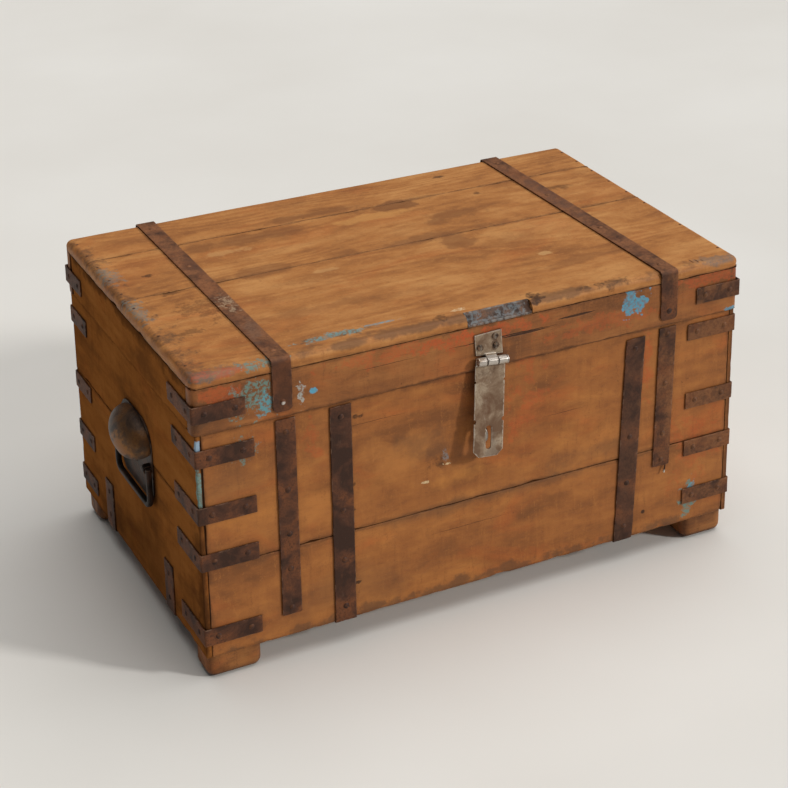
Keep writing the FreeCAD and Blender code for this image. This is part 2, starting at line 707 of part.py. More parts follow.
def lid_strap(label, place, skew):
    """A strap over the lid that ends at the back in two hinge knuckles."""
    thick = "strap_thickness"
    width = "lid_strap_width"
    body = new_body(f"{label}_iron")
    low_front = f"{LID_TOP} - lid_strap_drop"
    low_back = f"{SEAM} + {KNUCKLE_RADIUS} + knuckle_gap"
    extrude(body, "YZ_Plane", f"{width} + {skew}", outline=[
        (f"{LID_FRONT} - {thick}", low_front), (LID_FRONT, low_front),
        (LID_FRONT, LID_TOP), (LID_BACK, LID_TOP), (LID_BACK, low_back),
        (f"{LID_BACK} + {thick}", low_back), (f"{LID_BACK} + {thick}", f"{LID_TOP} + {thick}"),
        (f"{LID_FRONT} - {thick}", f"{LID_TOP} + {thick}"),
    ])
    round_edges(body, "strap_bend_round", {"y": LID_FRONT, "z": LID_TOP}, {"y": LID_BACK, "z": LID_TOP})
    round_edges(body, f"strap_bend_round + {thick}",
                {"y": f"{LID_FRONT} - {thick}", "z": f"{LID_TOP} + {thick}"},
                {"y": f"{LID_BACK} + {thick}", "z": f"{LID_TOP} + {thick}"})
    if measure(skew) > 0:
        far = "(lid_strap_width + cut_overrun)"
        front = f"{LID_FRONT} - cut_overrun"
        back = f"{LID_BACK} + cut_overrun"
        left = [("-cut_overrun", front), (skew, front), (skew, LID_FRONT),
                ("0", LID_BACK), ("-cut_overrun", LID_BACK)]
        right = [(f"{width} + {skew}", LID_FRONT), (f"{far} + {skew}", LID_FRONT),
                 (f"{far} + {skew}", back), (width, back), (width, LID_BACK)]
        through = "(lid_height + lid_strap_drop)"
        for side in (left, right):
            carve(body, "XY_Plane", through, f"{LID_TOP} - lid_height - cut_overrun", outline=side)
    for start in ("0", f"{width} - ({width} - hinge_middle_knuckle) / 2 + knuckle_gap"):
        length = f"({width} - hinge_middle_knuckle) / 2 - knuckle_gap"
        tongue = rectangle(LID_BACK, SEAM, f"{LID_BACK} + {thick}", low_back)
        extrude(body, "YZ_Plane", length, start, outline=tongue)
        extrude(body, "YZ_Plane", length, start, circles=[(HINGE_AXIS_Y, SEAM, KNUCKLE_RADIUS)])
    bore = "(hinge_pin_radius + running_clearance)"
    carve(body, "YZ_Plane", f"{width} + 2 * cut_overrun", "-cut_overrun",
          circles=[(HINGE_AXIS_Y, SEAM, bore)])
    round_edges(body, "lid_strap_end_round", {"x": skew, "z": low_front},
                {"x": f"{width} + {skew}", "z": low_front})
    put(body, place)
    for share in LID_STRAP_NAIL_SHARES:
        spot = point(f"{place} + {width} / 2 + {skew} * {1 - share}", f"{LID_FRONT} + {share} * lid_depth",
                     f"{LID_TOP} + {thick}")
        add_nail("lid_strap_nails", spot, FreeCAD.Vector(0, 0, -1))
    front_nail = point(f"{place} + {width} / 2 + {skew}", f"{LID_FRONT} - {thick}",
                       f"{low_front} + {width} / 2")
    back_nail = point(f"{place} + {width} / 2", f"{LID_BACK} + {thick}", f"{SEAM} + lid_height / 2")
    add_nail("lid_strap_nails", front_nail, FreeCAD.Vector(0, 1, 0))
    add_nail("lid_strap_nails", back_nail, FreeCAD.Vector(0, -1, 0))
    keep(label, body)


def hinge_leaf(label, place):
    """The hinge's lower half: a strap down the back with the middle knuckle."""
    thick = "strap_thickness"
    width = "lid_strap_width"
    body = new_body(f"{label}_iron")
    high = f"{SEAM} - {KNUCKLE_RADIUS} - knuckle_gap"
    low = f"{SEAM} - hinge_leaf_length"
    extrude(body, "YZ_Plane", width, outline=rectangle(BODY_BACK, low, f"{BODY_BACK} + {thick}", high))
    start = f"({width} - hinge_middle_knuckle) / 2"
    tongue = rectangle(BODY_BACK, high, f"{BODY_BACK} + {thick}", SEAM)
    extrude(body, "YZ_Plane", "hinge_middle_knuckle", start, outline=tongue)
    extrude(body, "YZ_Plane", "hinge_middle_knuckle", start, circles=[(HINGE_AXIS_Y, SEAM, KNUCKLE_RADIUS)])
    bore = "(hinge_pin_radius + running_clearance)"
    carve(body, "YZ_Plane", f"{width} + 2 * cut_overrun", "-cut_overrun",
          circles=[(HINGE_AXIS_Y, SEAM, bore)])
    round_edges(body, "lid_strap_end_round", {"x": "0", "z": low}, {"x": width, "z": low})
    put(body, place)
    for share in HINGE_LEAF_NAIL_SHARES:
        spot = point(f"{place} + {width} / 2", f"{BODY_BACK} + {thick}",
                     f"{SEAM} - {share} * hinge_leaf_length")
        add_nail("body_strap_nails", spot, FreeCAD.Vector(0, -1, 0))
    keep(label, body)


def hinge_pin(label, place):
    """A pin riveted over at both ends of the knuckles."""
    head = "(hinge_pin_head + face_gap)"
    body = new_body(f"{label}_iron")
    extrude(body, "YZ_Plane", f"lid_strap_width + 2 * {head}", f"-{head}",
            circles=[(HINGE_AXIS_Y, SEAM, "hinge_pin_radius")])
    head_radius = f"({KNUCKLE_RADIUS} - face_gap)"
    for start in (f"-{head}", "lid_strap_width + face_gap"):
        extrude(body, "YZ_Plane", "hinge_pin_head", start, circles=[(HINGE_AXIS_Y, SEAM, head_radius)])
    keep(label, put(body, place))


def lid_straps_and_hinges():
    """Each lid strap has its hinge leaf and pin at the back."""
    straps = (
        ("left", "left_lid_strap_place", "0"),
        ("right", "right_lid_strap_place", "right_lid_strap_skew"),
    )
    for end, place_size, skew in straps:
        place = f"{LID_LEFT} + {place_size}"
        lid_strap(f"lid_{end}_strap", place, skew)
        hinge_leaf(f"back_{end}_hinge_leaf", place)
        hinge_pin(f"{end}_hinge_pin", place)


# Hasp and staple


def hasp_leaf():
    """The swinging leaf, sketched hanging straight down from its pin and then tilted outwards."""
    body = new_body("hasp_leaf_iron")
    half = "hasp_leaf_width / 2"
    low = "-hasp_leaf_length"
    near = f"{HASP_KNUCKLE} - hasp_plate_thickness"
    under_knuckles = f"-{HASP_KNUCKLE} - knuckle_gap"
    chamfer = "hasp_leaf_chamfer"
    extrude(body, "XZ_Plane", "hasp_plate_thickness", near, outline=[
        (f"-{half}", under_knuckles), (f"-{half}", f"{low} + {chamfer}"), (f"-{half} + {chamfer}", low),
        (f"{half} - {chamfer}", low), (half, f"{low} + {chamfer}"), (half, under_knuckles),
    ])
    middle = "(hasp_middle_knuckle / 2 + knuckle_gap)"
    outer = "hasp_outer_knuckle"
    for start in (f"-{middle} - {outer}", middle):
        tongue = rectangle(near, under_knuckles, f"{near} + hasp_plate_thickness", "0")
        extrude(body, "YZ_Plane", outer, start, outline=tongue)
        extrude(body, "YZ_Plane", outer, start, circles=[("0", "0", HASP_KNUCKLE)])
    bore = "(hasp_pin_radius + running_clearance)"
    carve(body, "YZ_Plane", "hasp_leaf_width + 2 * cut_overrun", f"-{half} - cut_overrun",
          circles=[("0", "0", bore)])
    slot_half = "hasp_slot_width / 2"
    slot_run = "(hasp_slot_height - hasp_slot_width) / 2"
    slot = rectangle(f"-{slot_half}", f"-hasp_slot_drop - {slot_run}",
                     slot_half, f"-hasp_slot_drop + {slot_run}")
    through = "hasp_plate_thickness + 2 * cut_overrun"
    start = f"{near} - cut_overrun"
    carve(body, "XZ_Plane", through, start, outline=slot)
    for side in ("-", "+"):
        slot_end = ("0", f"-hasp_slot_drop {side} {slot_run}", slot_half)
        carve(body, "XZ_Plane", through, start, circles=[slot_end])
        for drop, radius in (("hasp_notch_drop", "hasp_notch_radius"),
                             ("hasp_upper_notch_drop", "hasp_upper_notch_radius")):
            notch = (f"{side}hasp_leaf_width / 2", f"-{drop}", radius)
            carve(body, "XZ_Plane", through, start, circles=[notch])
    put(body, HASP_X, HASP_AXIS_Y, HASP_AXIS_Z)
    swing = FreeCAD.Rotation(FreeCAD.Vector(-1, 0, 0), measure(HASP_TILT))
    skew = FreeCAD.Rotation(FreeCAD.Vector(0, 1, 0), measure("hasp_skew"))
    body.Placement = FreeCAD.Placement(body.Placement.Base, skew.multiply(swing))
    keep("hasp_leaf", body)


def put_on_hasp_axis(body):
    """Places a piece at the middle of the hasp's pin, turned as the hasp is skewed on the lid."""
    put(body, HASP_X, HASP_AXIS_Y, HASP_AXIS_Z, measure("hasp_skew"), FreeCAD.Vector(0, 1, 0))
    tie(body, Placement__Rotation__Angle="hasp_skew")
    return body


def hasp_fixed_leaf():
    """The leaf screwed to the lid, with the middle knuckle."""
    body = new_body("hasp_fixed_leaf_iron")
    back = f"{HASP_KNUCKLE} + face_gap"
    above = f"({HASP_KNUCKLE} + knuckle_gap)"
    plate = "hasp_plate_thickness"
    extrude(body, "XZ_Plane", plate, back, outline=[
        ("-fixed_leaf_left", above), ("fixed_leaf_right", above),
        ("fixed_leaf_right - fixed_leaf_lean", f"{above} + fixed_leaf_right_height"),
        ("-fixed_leaf_left - fixed_leaf_lean", f"{above} + fixed_leaf_left_height"),
    ])
    start = "-hasp_middle_knuckle / 2"
    tongue = [
        ("0", HASP_KNUCKLE), (back, f"{above} + {plate}"), (f"{back} + {plate}", f"{above} + {plate}"),
        (f"{back} + {plate}", above), ("hasp_pin_radius", "hasp_pin_radius"),
    ]
    extrude(body, "YZ_Plane", "hasp_middle_knuckle", start, circles=[("0", "0", HASP_KNUCKLE)])
    extrude(body, "YZ_Plane", "hasp_middle_knuckle", start, outline=tongue)
    bore = "(hasp_pin_radius + running_clearance)"
    carve(body, "YZ_Plane", "hasp_middle_knuckle + 2 * cut_overrun", f"{start} - cut_overrun",
          circles=[("0", "0", bore)])
    keep("hasp_fixed_leaf", put_on_hasp_axis(body))
    spots = (
        ("-left_screw_place", "left_screw_rise"), ("right_screw_place", "right_screw_rise"),
        ("right_screw_place - fixed_leaf_lean / 2", "top_screw_rise"),
    )
    for along, up in spots:
        x = f"{HASP_X} + ({along}) * {SKEW_COS} + ({up}) * {SKEW_SIN}"
        z = f"{HASP_AXIS_Z} - ({along}) * {SKEW_SIN} + ({up}) * {SKEW_COS}"
        add_nail("hasp_screws", point(x, f"{HASP_AXIS_Y} + {back}", z), FreeCAD.Vector(0, 1, 0))


def hasp_pin():
    """The hasp's pin, with a round head past the right-hand knuckle."""
    body = new_body("hasp_pin_iron")
    half = "(hasp_middle_knuckle / 2 + knuckle_gap + hasp_outer_knuckle)"
    extrude(body, "YZ_Plane", f"2 * {half} + face_gap + hasp_pin_head_length", f"-{half}",
            circles=[("0", "0", "hasp_pin_radius")])
    extrude(body, "YZ_Plane", "hasp_pin_head_length", f"{half} + face_gap",
            circles=[("0", "0", HASP_KNUCKLE)])
    keep("hasp_pin", put_on_hasp_axis(body))


def staple():
    """A wire loop driven into the front board, where the hasp's slot closes over it."""
    nose_y = f"{BODY_FRONT} - staple_reach + staple_span / 2 + staple_wire_radius"
    nose = doc.addObject("Part::Torus", "staple_nose")
    tie(nose, Radius1="staple_span / 2", Radius2="staple_wire_radius")
    nose.Angle3 = 180
    put(nose, STAPLE_X, nose_y, STAPLE_Z)
    nose.Placement = FreeCAD.Placement(nose.Placement.Base, FreeCAD.Rotation(
        FreeCAD.Vector(0, 0, 1), FreeCAD.Vector(0, -1, 0), FreeCAD.Vector(1, 0, 0), "XYZ"))
    length = f"(staple_reach - staple_span / 2 - staple_wire_radius + staple_root)"
    legs = [
        cylinder("staple_leg", "staple_wire_radius", length, STAPLE_X, nose_y,
                 f"{STAPLE_Z} {side} staple_span / 2", "y")
        for side in ("-", "+")
    ]
    keep("staple", fuse("staple", nose, *legs))
    hole_length = f"{length} + face_gap"
    return [
        cylinder("staple_hole", "staple_wire_radius + shank_clearance", hole_length, STAPLE_X, nose_y,
                 f"{STAPLE_Z} {side} staple_span / 2", "y")
        for side in ("-", "+")
    ]


# End handles


def handle(end, x, turn):
    """One drop handle, drawn with -X outwards from the end board and turned for its end."""
    thick = "handle_plate_thickness"
    half = "handle_plate_width / 2"
    axis_x = f"(-{thick} - lug_radius)"
    middle = f"({LID_FRONT} + handle_place)"
    plate = new_body(f"{end}_handle_plate_iron")
    extrude(plate, "YZ_Plane", thick, f"-{thick}", outline=rectangle(
        f"-{half}", "-handle_plate_fall", half, "handle_plate_rise"))
    round_edges(plate, "handle_plate_top_round", {"y": f"-{half}", "z": "handle_plate_rise"},
                {"y": half, "z": "handle_plate_rise"})
    round_edges(plate, "handle_plate_bottom_round", {"y": f"-{half}", "z": "-handle_plate_fall"},
                {"y": half, "z": "-handle_plate_fall"})
    bail_inside = "(bail_width / 2 - bail_bar)"
    for start in (f"-({bail_inside} - face_gap)", f"{bail_inside} - face_gap - lug_width"):
        extrude(plate, "XZ_Plane", "lug_width", start,
                outline=rectangle(axis_x, "-lug_radius", f"-{thick}", "lug_radius"))
        extrude(plate, "XZ_Plane", "lug_width", start, circles=[(axis_x, "0", "lug_radius")])
    bore = "(bail_pin_radius + running_clearance)"
    carve(plate, "XZ_Plane", "handle_plate_width + 2 * cut_overrun", f"-{half} - cut_overrun",
          circles=[(axis_x, "0", bore)])
    bail = new_body(f"{end}_handle_bail_iron")
    outer = "bail_width / 2"
    back = f"{axis_x} - bail_bar / 2"
    extrude(bail, "YZ_Plane", "bail_bar", back,
            outline=rectangle(f"-{outer}", "-bail_drop", outer, "bail_bar / 2"))
    round_edges(bail, "bail_corner_round", {"y": f"-{outer}", "z": "-bail_drop"},
                {"y": outer, "z": "-bail_drop"})
    carve(bail, "YZ_Plane", "bail_bar", back, outline=rectangle(
        f"-{outer} + bail_bar", "-bail_drop + bail_bar", f"{outer} - bail_bar", "bail_bar / 2 + cut_overrun"))
    inner_corners = [{"y": f"{side}({outer} - bail_bar)", "z": "-bail_drop + bail_bar"} for side in ("-", "")]
    round_edges(bail, "bail_corner_round - bail_bar", *inner_corners)
    soften_bail(bail, back)
    for start in (f"-{outer} + bail_bar / 2", f"{outer} - bail_bar / 2 - bail_pin_length"):
        extrude(bail, "XZ_Plane", "bail_pin_length", start, circles=[(axis_x, "0", "bail_pin_radius")])
    hood = handle_hood(end)
    for label, item in (("plate", plate), ("bail", bail), ("hood", hood)):
        keep(f"{end}_handle_{label}", put(item, x, middle, "handle_pivot_height", turn))
    outward = -1 if turn == 0 else 1
    nail_spots = (("0", "-2 * lug_radius"), ("-handle_plate_width / 3", "-bail_drop / 2"),
                  ("handle_plate_width / 3", "-bail_drop / 2"))
    for y, z in nail_spots:
        spot = point(f"{x} + {outward} * {thick}", f"{middle} + {y}", f"handle_pivot_height + {z}")
        add_nail("handle_nails", spot, FreeCAD.Vector(-outward, 0, 0))


def soften_bail(bail, back):
    """Rounds the bar's long edges, all but those at its two flat tops."""
    doc.recompute()
    tip = bail.Tip
    faces = (measure(back), measure(f"{back} + bail_bar"))
    top = measure("bail_bar / 2")
    names = []
    for number, edge in enumerate(tip.Shape.Edges, start=1):
        ends = [vertex.Point for vertex in edge.Vertexes]
        flat = any(all(abs(end.x - face) < SAME_PLACE for end in ends) for face in faces)
        at_top = all(abs(end.z - top) < SAME_PLACE for end in ends)
        if flat and not at_top:
            names.append(f"Edge{number}")
    fillet = bail.newObject("PartDesign::Fillet", f"{bail.Name}_soft_edges")
    fillet.Base = (tip, names)
    tie(fillet, Radius="bail_bar_round")
    doc.recompute()


def handle_hood(end):
    """A domed cup over the lugs, open below, seated on the plate; its rim dips away from the wall."""
    shells = []
    for name, wall in (("outer", "0"), ("inner", "hood_wall")):
        dome = doc.addObject("Part::Ellipsoid", f"{end}_hood_{name}")
        tie(dome, Radius1=f"hood_half_height - {wall}", Radius2=f"hood_reach - {wall}",
            Radius3=f"hood_half_width - {wall}")
        shells.append(put(dome, "-handle_plate_thickness", "0", "hood_centre_rise"))
    shell = cut(f"{end}_hood_shell", *shells)
    bounds = new_body(f"{end}_hood_bounds")
    wall = "-handle_plate_thickness"
    rim = "(hood_centre_rise - hood_skirt)"
    reach = "(hood_reach + cut_overrun)"
    top = "hood_centre_rise + hood_half_height + cut_overrun"
    width = "2 * (hood_half_width + cut_overrun)"
    extrude(bounds, "XZ_Plane", width, "-hood_half_width - cut_overrun", outline=[
        (f"{wall} - {reach}", f"{rim} - {reach} * tan(hood_rim_slant * 1deg)"), (wall, rim),
        (wall, top), (f"{wall} - {reach}", top),
    ])
    hood = doc.addObject("Part::Common", f"{end}_handle_hood_cup")
    hood.Base = shell
    hood.Tool = bounds
    return hood


# Nails, screws and their holes


def add_nail(group_name, place, inward):
    """Notes a nail's place and the direction that it points in."""
    nails.setdefault(group_name, []).append((place, inward))


def plank_nails():
    """Rows of small nails hold the lid's planks to its end rails."""
    for x in (f"{LID_LEFT} + plank_nail_inset", f"-{LID_LEFT} - plank_nail_inset"):
        for share in PLANK_NAIL_SHARES:
            add_nail("lid_plank_nails", point(x, f"{LID_FRONT} + {share} * lid_depth", LID_TOP),
                     FreeCAD.Vector(0, 0, -1))


def turned(shape, place, inward):
    """Moves a shape drawn along -Z from the origin so that it points inward from a place."""
    shape.Placement = FreeCAD.Placement(place, FreeCAD.Rotation(FreeCAD.Vector(0, 0, -1), inward))
    return shape


def domed_nail():
    """A nail below the origin plane with a domed head above it."""
    radius, height = measure("nail_head_radius"), measure("nail_head_height")
    ball = (radius * radius + height * height) / (2 * height)
    head = Part.makeSphere(ball, FreeCAD.Vector(0, 0, height - ball))
    slab = Part.makeCylinder(radius, height, FreeCAD.Vector())
    shank = Part.makeCylinder(measure("nail_shank_radius"), measure("nail_length"),
                              FreeCAD.Vector(), FreeCAD.Vector(0, 0, -1))
    return head.common(slab).fuse(shank).removeSplitter()


def plank_nail():
    """A small nail driven in flush with the plank."""
    return Part.makeCylinder(measure("plank_nail_radius"), measure("plank_nail_length"),
                             FreeCAD.Vector(), FreeCAD.Vector(0, 0, -1))


def slotted_screw():
    """A screw with a flat round head and a driver slot."""
    radius, height = measure("screw_head_radius"), measure("screw_head_height")
    head = Part.makeCylinder(radius, height)
    slot_width, slot_depth = measure("screw_slot_width"), measure("screw_slot_depth")
    corner = FreeCAD.Vector(-slot_width / 2, -radius, height - slot_depth)
    head = head.cut(Part.makeBox(slot_width, 2 * radius, slot_depth, corner))
    shank = Part.makeCylinder(measure("screw_shank_radius"), measure("screw_length"),
                              FreeCAD.Vector(), FreeCAD.Vector(0, 0, -1))
    return head.fuse(shank).removeSplitter()


FASTENERS = {
    "body_strap_nails": (domed_nail, "nail_shank_radius", "nail_length"),
    "lid_strap_nails": (domed_nail, "nail_shank_radius", "nail_length"),
    "handle_nails": (domed_nail, "nail_shank_radius", "nail_length"),
    "lid_plank_nails": (plank_nail, "plank_nail_radius", "plank_nail_length"),
    "hasp_screws": (slotted_screw, "screw_shank_radius", "screw_length"),
}


def fastener_groups():
    """Makes each group of fasteners, and gives the holes that they need."""
    holes = []
    for group_name, places in nails.items():
        make, shank_radius, shank_length = FASTENERS[group_name]
        pattern = make()
        pieces = [turned(pattern.copy(), place, inward) for place, inward in places]
        feature = doc.addObject("Part::Feature", group_name)
        feature.Shape = Part.makeCompound(pieces)
        keep(group_name, feature)
        radius = measure(f"{shank_radius} + shank_clearance")
        over = measure("cut_overrun")
        depth = measure(f"{shank_length} + face_gap") + over
        for place, inward in places:
            holes.append(Part.makeCylinder(radius, depth, place - inward * over, inward))
    return holes


def drill(holes, staple_holes):
    """Cuts every hole out of the wood and iron that it meets."""
    doc.recompute()
    solid_groups = set(nails) | {"staple", "hasp_pin", "left_hinge_pin", "right_hinge_pin"}
    every_hole = holes + [item.Shape.copy() for item in staple_holes]
    for label, item in list(nodes.items()):
        if label in solid_groups:
            continue
        met = [hole for hole in every_hole if hole.BoundBox.intersect(item.Shape.BoundBox)]
        met = [hole for hole in met if hole.common(item.Shape).Volume > 0]
        if not met:
            continue
        item.Label = f"{label}_blank"
        tool = doc.addObject("Part::Feature", f"{label}_holes")
        tool.Shape = Part.makeCompound(met)
        keep(label, cut(label, item, tool))


def check_and_write():
    """Stops at any failed object, then writes one file for each sub-part."""
    doc.recompute()
    for item in doc.Objects:
        if {"Invalid", "Error"} & set(item.State):
            raise RuntimeError(f"{item.Label} failed: {item.State}")
    os.makedirs("parts", exist_ok=True)
    for label, item in nodes.items():
        shape = item.Shape
        if shape.isNull() or not shape.isValid() or not shape.Solids:
            raise RuntimeError(f"{label} has no sound solid")
        shape.exportStep(os.path.join("parts", f"{label}.step"))
        print(f"{label}: {len(shape.Solids)} solids, {shape.Volume / 1000:.1f} cm3")


front_and_back_boards()
end_boards()
bottom_boards()
feet()
lid_planks()
lid_rails()
narrow_straps()
under_strap("left_under_strap", f"{LID_LEFT} + left_under_strap_place", "0", "strap_seam_gap")
under_strap("right_under_strap", f"{LID_LEFT} + right_under_strap_place", "right_under_strap_lean",
            "right_under_strap_gap")
angle_straps()
corner_straps()
lid_straps_and_hinges()
hasp_leaf()
hasp_fixed_leaf()
hasp_pin()
staple_holes = staple()
handle("left", BODY_LEFT, 0)
handle("right", BODY_RIGHT, 180)
plank_nails()
drill(fastener_groups(), staple_holes)
check_and_write()
print("sub-parts:", len(nodes))
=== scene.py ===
"""Looks of a low wooden trunk with iron straps, a front hasp and a domed drop handle at each end."""

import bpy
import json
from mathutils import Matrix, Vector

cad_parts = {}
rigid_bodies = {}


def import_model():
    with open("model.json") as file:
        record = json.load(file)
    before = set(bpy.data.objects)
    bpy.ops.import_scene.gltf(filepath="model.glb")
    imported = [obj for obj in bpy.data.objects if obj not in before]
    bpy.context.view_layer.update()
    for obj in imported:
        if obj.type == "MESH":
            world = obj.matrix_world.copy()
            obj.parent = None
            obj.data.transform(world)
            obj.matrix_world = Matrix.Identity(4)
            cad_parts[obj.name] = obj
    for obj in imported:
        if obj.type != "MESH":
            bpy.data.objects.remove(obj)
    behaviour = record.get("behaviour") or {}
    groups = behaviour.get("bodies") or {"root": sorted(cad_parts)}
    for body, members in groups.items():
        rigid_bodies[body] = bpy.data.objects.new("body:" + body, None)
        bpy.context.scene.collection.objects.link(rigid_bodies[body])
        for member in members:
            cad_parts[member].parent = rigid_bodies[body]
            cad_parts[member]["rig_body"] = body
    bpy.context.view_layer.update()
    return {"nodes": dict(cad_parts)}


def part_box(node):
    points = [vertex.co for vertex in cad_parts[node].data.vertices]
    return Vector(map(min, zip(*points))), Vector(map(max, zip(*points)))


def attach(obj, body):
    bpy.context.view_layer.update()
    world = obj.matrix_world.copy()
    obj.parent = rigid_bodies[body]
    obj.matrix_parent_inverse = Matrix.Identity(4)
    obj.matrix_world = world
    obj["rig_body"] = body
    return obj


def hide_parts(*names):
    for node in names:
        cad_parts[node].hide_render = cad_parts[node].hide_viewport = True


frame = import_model()

import json
import logging
import math
from dataclasses import dataclass, replace
from enum import Enum
from typing import Callable, Dict, Iterable, List, Optional, Sequence, Tuple, Union

import bmesh
import bpy
from mathutils import Matrix, Vector, kdtree, noise

log = logging.getLogger("trunk")

MM = 0.001
WELD = 1e-6

# The curve between a screen's colours and linear ones
FULL_CHANNEL = 255
TOE_END = 0.04045
TOE_SLOPE = 12.92
CURVE_SHIFT = 0.055
CURVE_POWER = 2.4

Colour = Tuple[float, float, float, float]
Triple = Tuple[float, float, float]
Socket = bpy.types.NodeSocket
Value = Union[float, Sequence[float], Socket]
Side = Tuple[int, int]
Grid = bmesh.types.BMesh


def paint(red: float, green: float, blue: float) -> Colour:
    """Turns a colour as a screen shows it into a linear one.

    Args:
        red: red from 0 to 255.
        green: green from 0 to 255.
        blue: blue from 0 to 255.

    Returns:
        The linear colour with an alpha of 1.
    """
    def linear(part: float) -> float:
        """One channel."""
        share = part / FULL_CHANNEL
        if share <= TOE_END:
            return share / TOE_SLOPE
        return ((share + CURVE_SHIFT) / (1 + CURVE_SHIFT)) ** CURVE_POWER
    return linear(red), linear(green), linear(blue), 1.0


# Node trees


@dataclass(frozen=True)
class Layer:
    """One layer of noise over coordinates that are stretched by a factor for each axis."""

    stretch: Triple
    scale: float
    detail: float
    rough: float
    warp: float = 0.0


DRIFT = Layer((1.1, 5.0, 5.0), 1.6, 2.0, 0.5)
FINE_FIBRES = Layer((9.0, 260.0, 260.0), 1.0, 4.0, 0.62)
COARSE_FIBRES = Layer((4.0, 60.0, 60.0), 1.0, 3.0, 0.6, 0.3)
BROAD_MOTTLE = Layer((1.0, 2.4, 2.4), 5.0, 5.0, 0.55, 0.5)
SMALL_MOTTLE = Layer((1.0, 1.9, 1.9), 26.0, 4.0, 0.6, 0.4)
PORES = Layer((60.0, 900.0, 900.0), 1.0, 2.0, 0.5)
WARM_CLOUDS = Layer((3.0, 6.0, 6.0), 2.2, 4.0, 0.65, 0.5)
BLOTS = Layer((1.0, 2.0, 2.0), 7.0, 6.0, 0.66, 0.5)
BRUSH_MARKS = Layer((150.0, 150.0, 22.0), 1.0, 4.0, 0.7, 0.6)
RUBS = Layer((16.0, 90.0, 90.0), 1.0, 4.0, 0.75, 1.4)
SCUFFS = Layer((90.0, 90.0, 30.0), 1.0, 4.0, 0.7, 0.8)


class Sheet:
    """A node tree being filled in, with short calls for the nodes that the finishes use."""

    def __init__(self, tree: bpy.types.NodeTree) -> None:
        """Keeps the tree."""
        self.tree = tree

    def node(self, kind: str, **settings: object) -> bpy.types.Node:
        """Adds a shader node.

        Args:
            kind: the node's type without its ShaderNode prefix.
            settings: properties to set on it.

        Returns:
            The new node.
        """
        made = self.tree.nodes.new("ShaderNode" + kind)
        for name, value in settings.items():
            setattr(made, name, value)
        return made

    def feed(self, socket: Socket, value: Value) -> None:
        """Links a socket into another, or sets it to a constant."""
        if isinstance(value, Socket):
            self.tree.links.new(value, socket)
        else:
            socket.default_value = value

    def fill(self, node: bpy.types.Node, **values: Value) -> bpy.types.Node:
        """Feeds a node's inputs by name, spaces written as underscores, and gives the node back."""
        for name, value in values.items():
            self.feed(node.inputs[name.replace("_", " ")], value)
        return node

    def math(self, operation: str, *values: Value, clamp: bool = False) -> Socket:
        """A Math node on one to three values."""
        made = self.node("Math", operation=operation, use_clamp=clamp)
        for socket, value in zip(made.inputs, values):
            self.feed(socket, value)
        return made.outputs[0]

    def plus(self, first: Value, second: Value) -> Socket:
        """The sum of two values."""
        return self.math("ADD", first, second)

    def minus(self, first: Value, second: Value) -> Socket:
        """The difference of two values."""
        return self.math("SUBTRACT", first, second)

    def times(self, first: Value, second: Value, added: Optional[Value] = None) -> Socket:
        """The product of two values, with a third one added if it's given."""
        if added is None:
            return self.math("MULTIPLY", first, second)
        return self.math("MULTIPLY_ADD", first, second, added)

    def vector(self, operation: str, *values: Value, output: str = "Vector") -> Socket:
        """A Vector Math node."""
        made = self.node("VectorMath", operation=operation)
        for socket, value in zip(made.inputs, values):
            self.feed(socket, value)
        return made.outputs[output]

    def span(self, value: Value, low: Value, high: Value, start: float = 0.0, end: float = 1.0) -> Socket:
        """Maps a value smoothly and clamped from low..high to start..end."""
        made = self.node("MapRange", interpolation_type="SMOOTHSTEP", clamp=True)
        self.fill(made, Value=value, From_Min=low, From_Max=high, To_Min=start, To_Max=end)
        return made.outputs["Result"]

    def noise(self, vector: Value, scale: Value, detail: float, rough: float, warp: float = 0.0) -> Socket:
        """A noise value over a vector."""
        made = self.fill(self.node("TexNoise"), Vector=vector, Scale=scale, Detail=detail, Roughness=rough,
                         Distortion=warp)
        return made.outputs["Fac"]

    def layer(self, vector: Value, layer: Layer) -> Socket:
        """The value of a layer of noise."""
        stretched = self.vector("MULTIPLY", vector, layer.stretch)
        return self.noise(stretched, layer.scale, layer.detail, layer.rough, layer.warp)

    def ramp(self, value: Value, stops: Sequence[Tuple[float, Colour]]) -> Socket:
        """A colour ramp with stops of place and colour."""
        made = self.node("ValToRGB")
        elements = made.color_ramp.elements
        while len(elements) < len(stops):
            elements.new(1.0)
        for element, (place, colour) in zip(elements, stops):
            element.position = place
            element.color = colour
        self.feed(made.inputs["Fac"], value)
        return made.outputs["Color"]

    def mix(self, share: Value, first: Value, second: Value) -> Socket:
        """Mixes two colours."""
        made = self.node("Mix", data_type="RGBA")
        self.feed(made.inputs["Factor"], share)
        self.feed(made.inputs[6], first)
        self.feed(made.inputs[7], second)
        return made.outputs[2]

    def glaze(self, colour: Value, over: Value, mask: Value, share: Value) -> Socket:
        """Lays a share of a colour over another where a mask is."""
        return self.mix(self.times(mask, share), colour, over)

    def group(self, tree: bpy.types.NodeTree, **values: Value) -> Dict[str, Socket]:
        """Places a node group with its inputs given by name, spaces written as underscores."""
        made = self.fill(self.node("Group", node_tree=tree), **values)
        return {socket.name: socket for socket in made.outputs}


SOCKET_KINDS = {"value": "NodeSocketFloat", "vector": "NodeSocketVector"}


def new_material(name: str) -> Tuple[bpy.types.Material, Sheet, bpy.types.Node]:
    """A new material, its sheet and its shader."""
    material = bpy.data.materials.new(name)
    material.use_nodes = True
    return material, Sheet(material.node_tree), material.node_tree.nodes["Principled BSDF"]


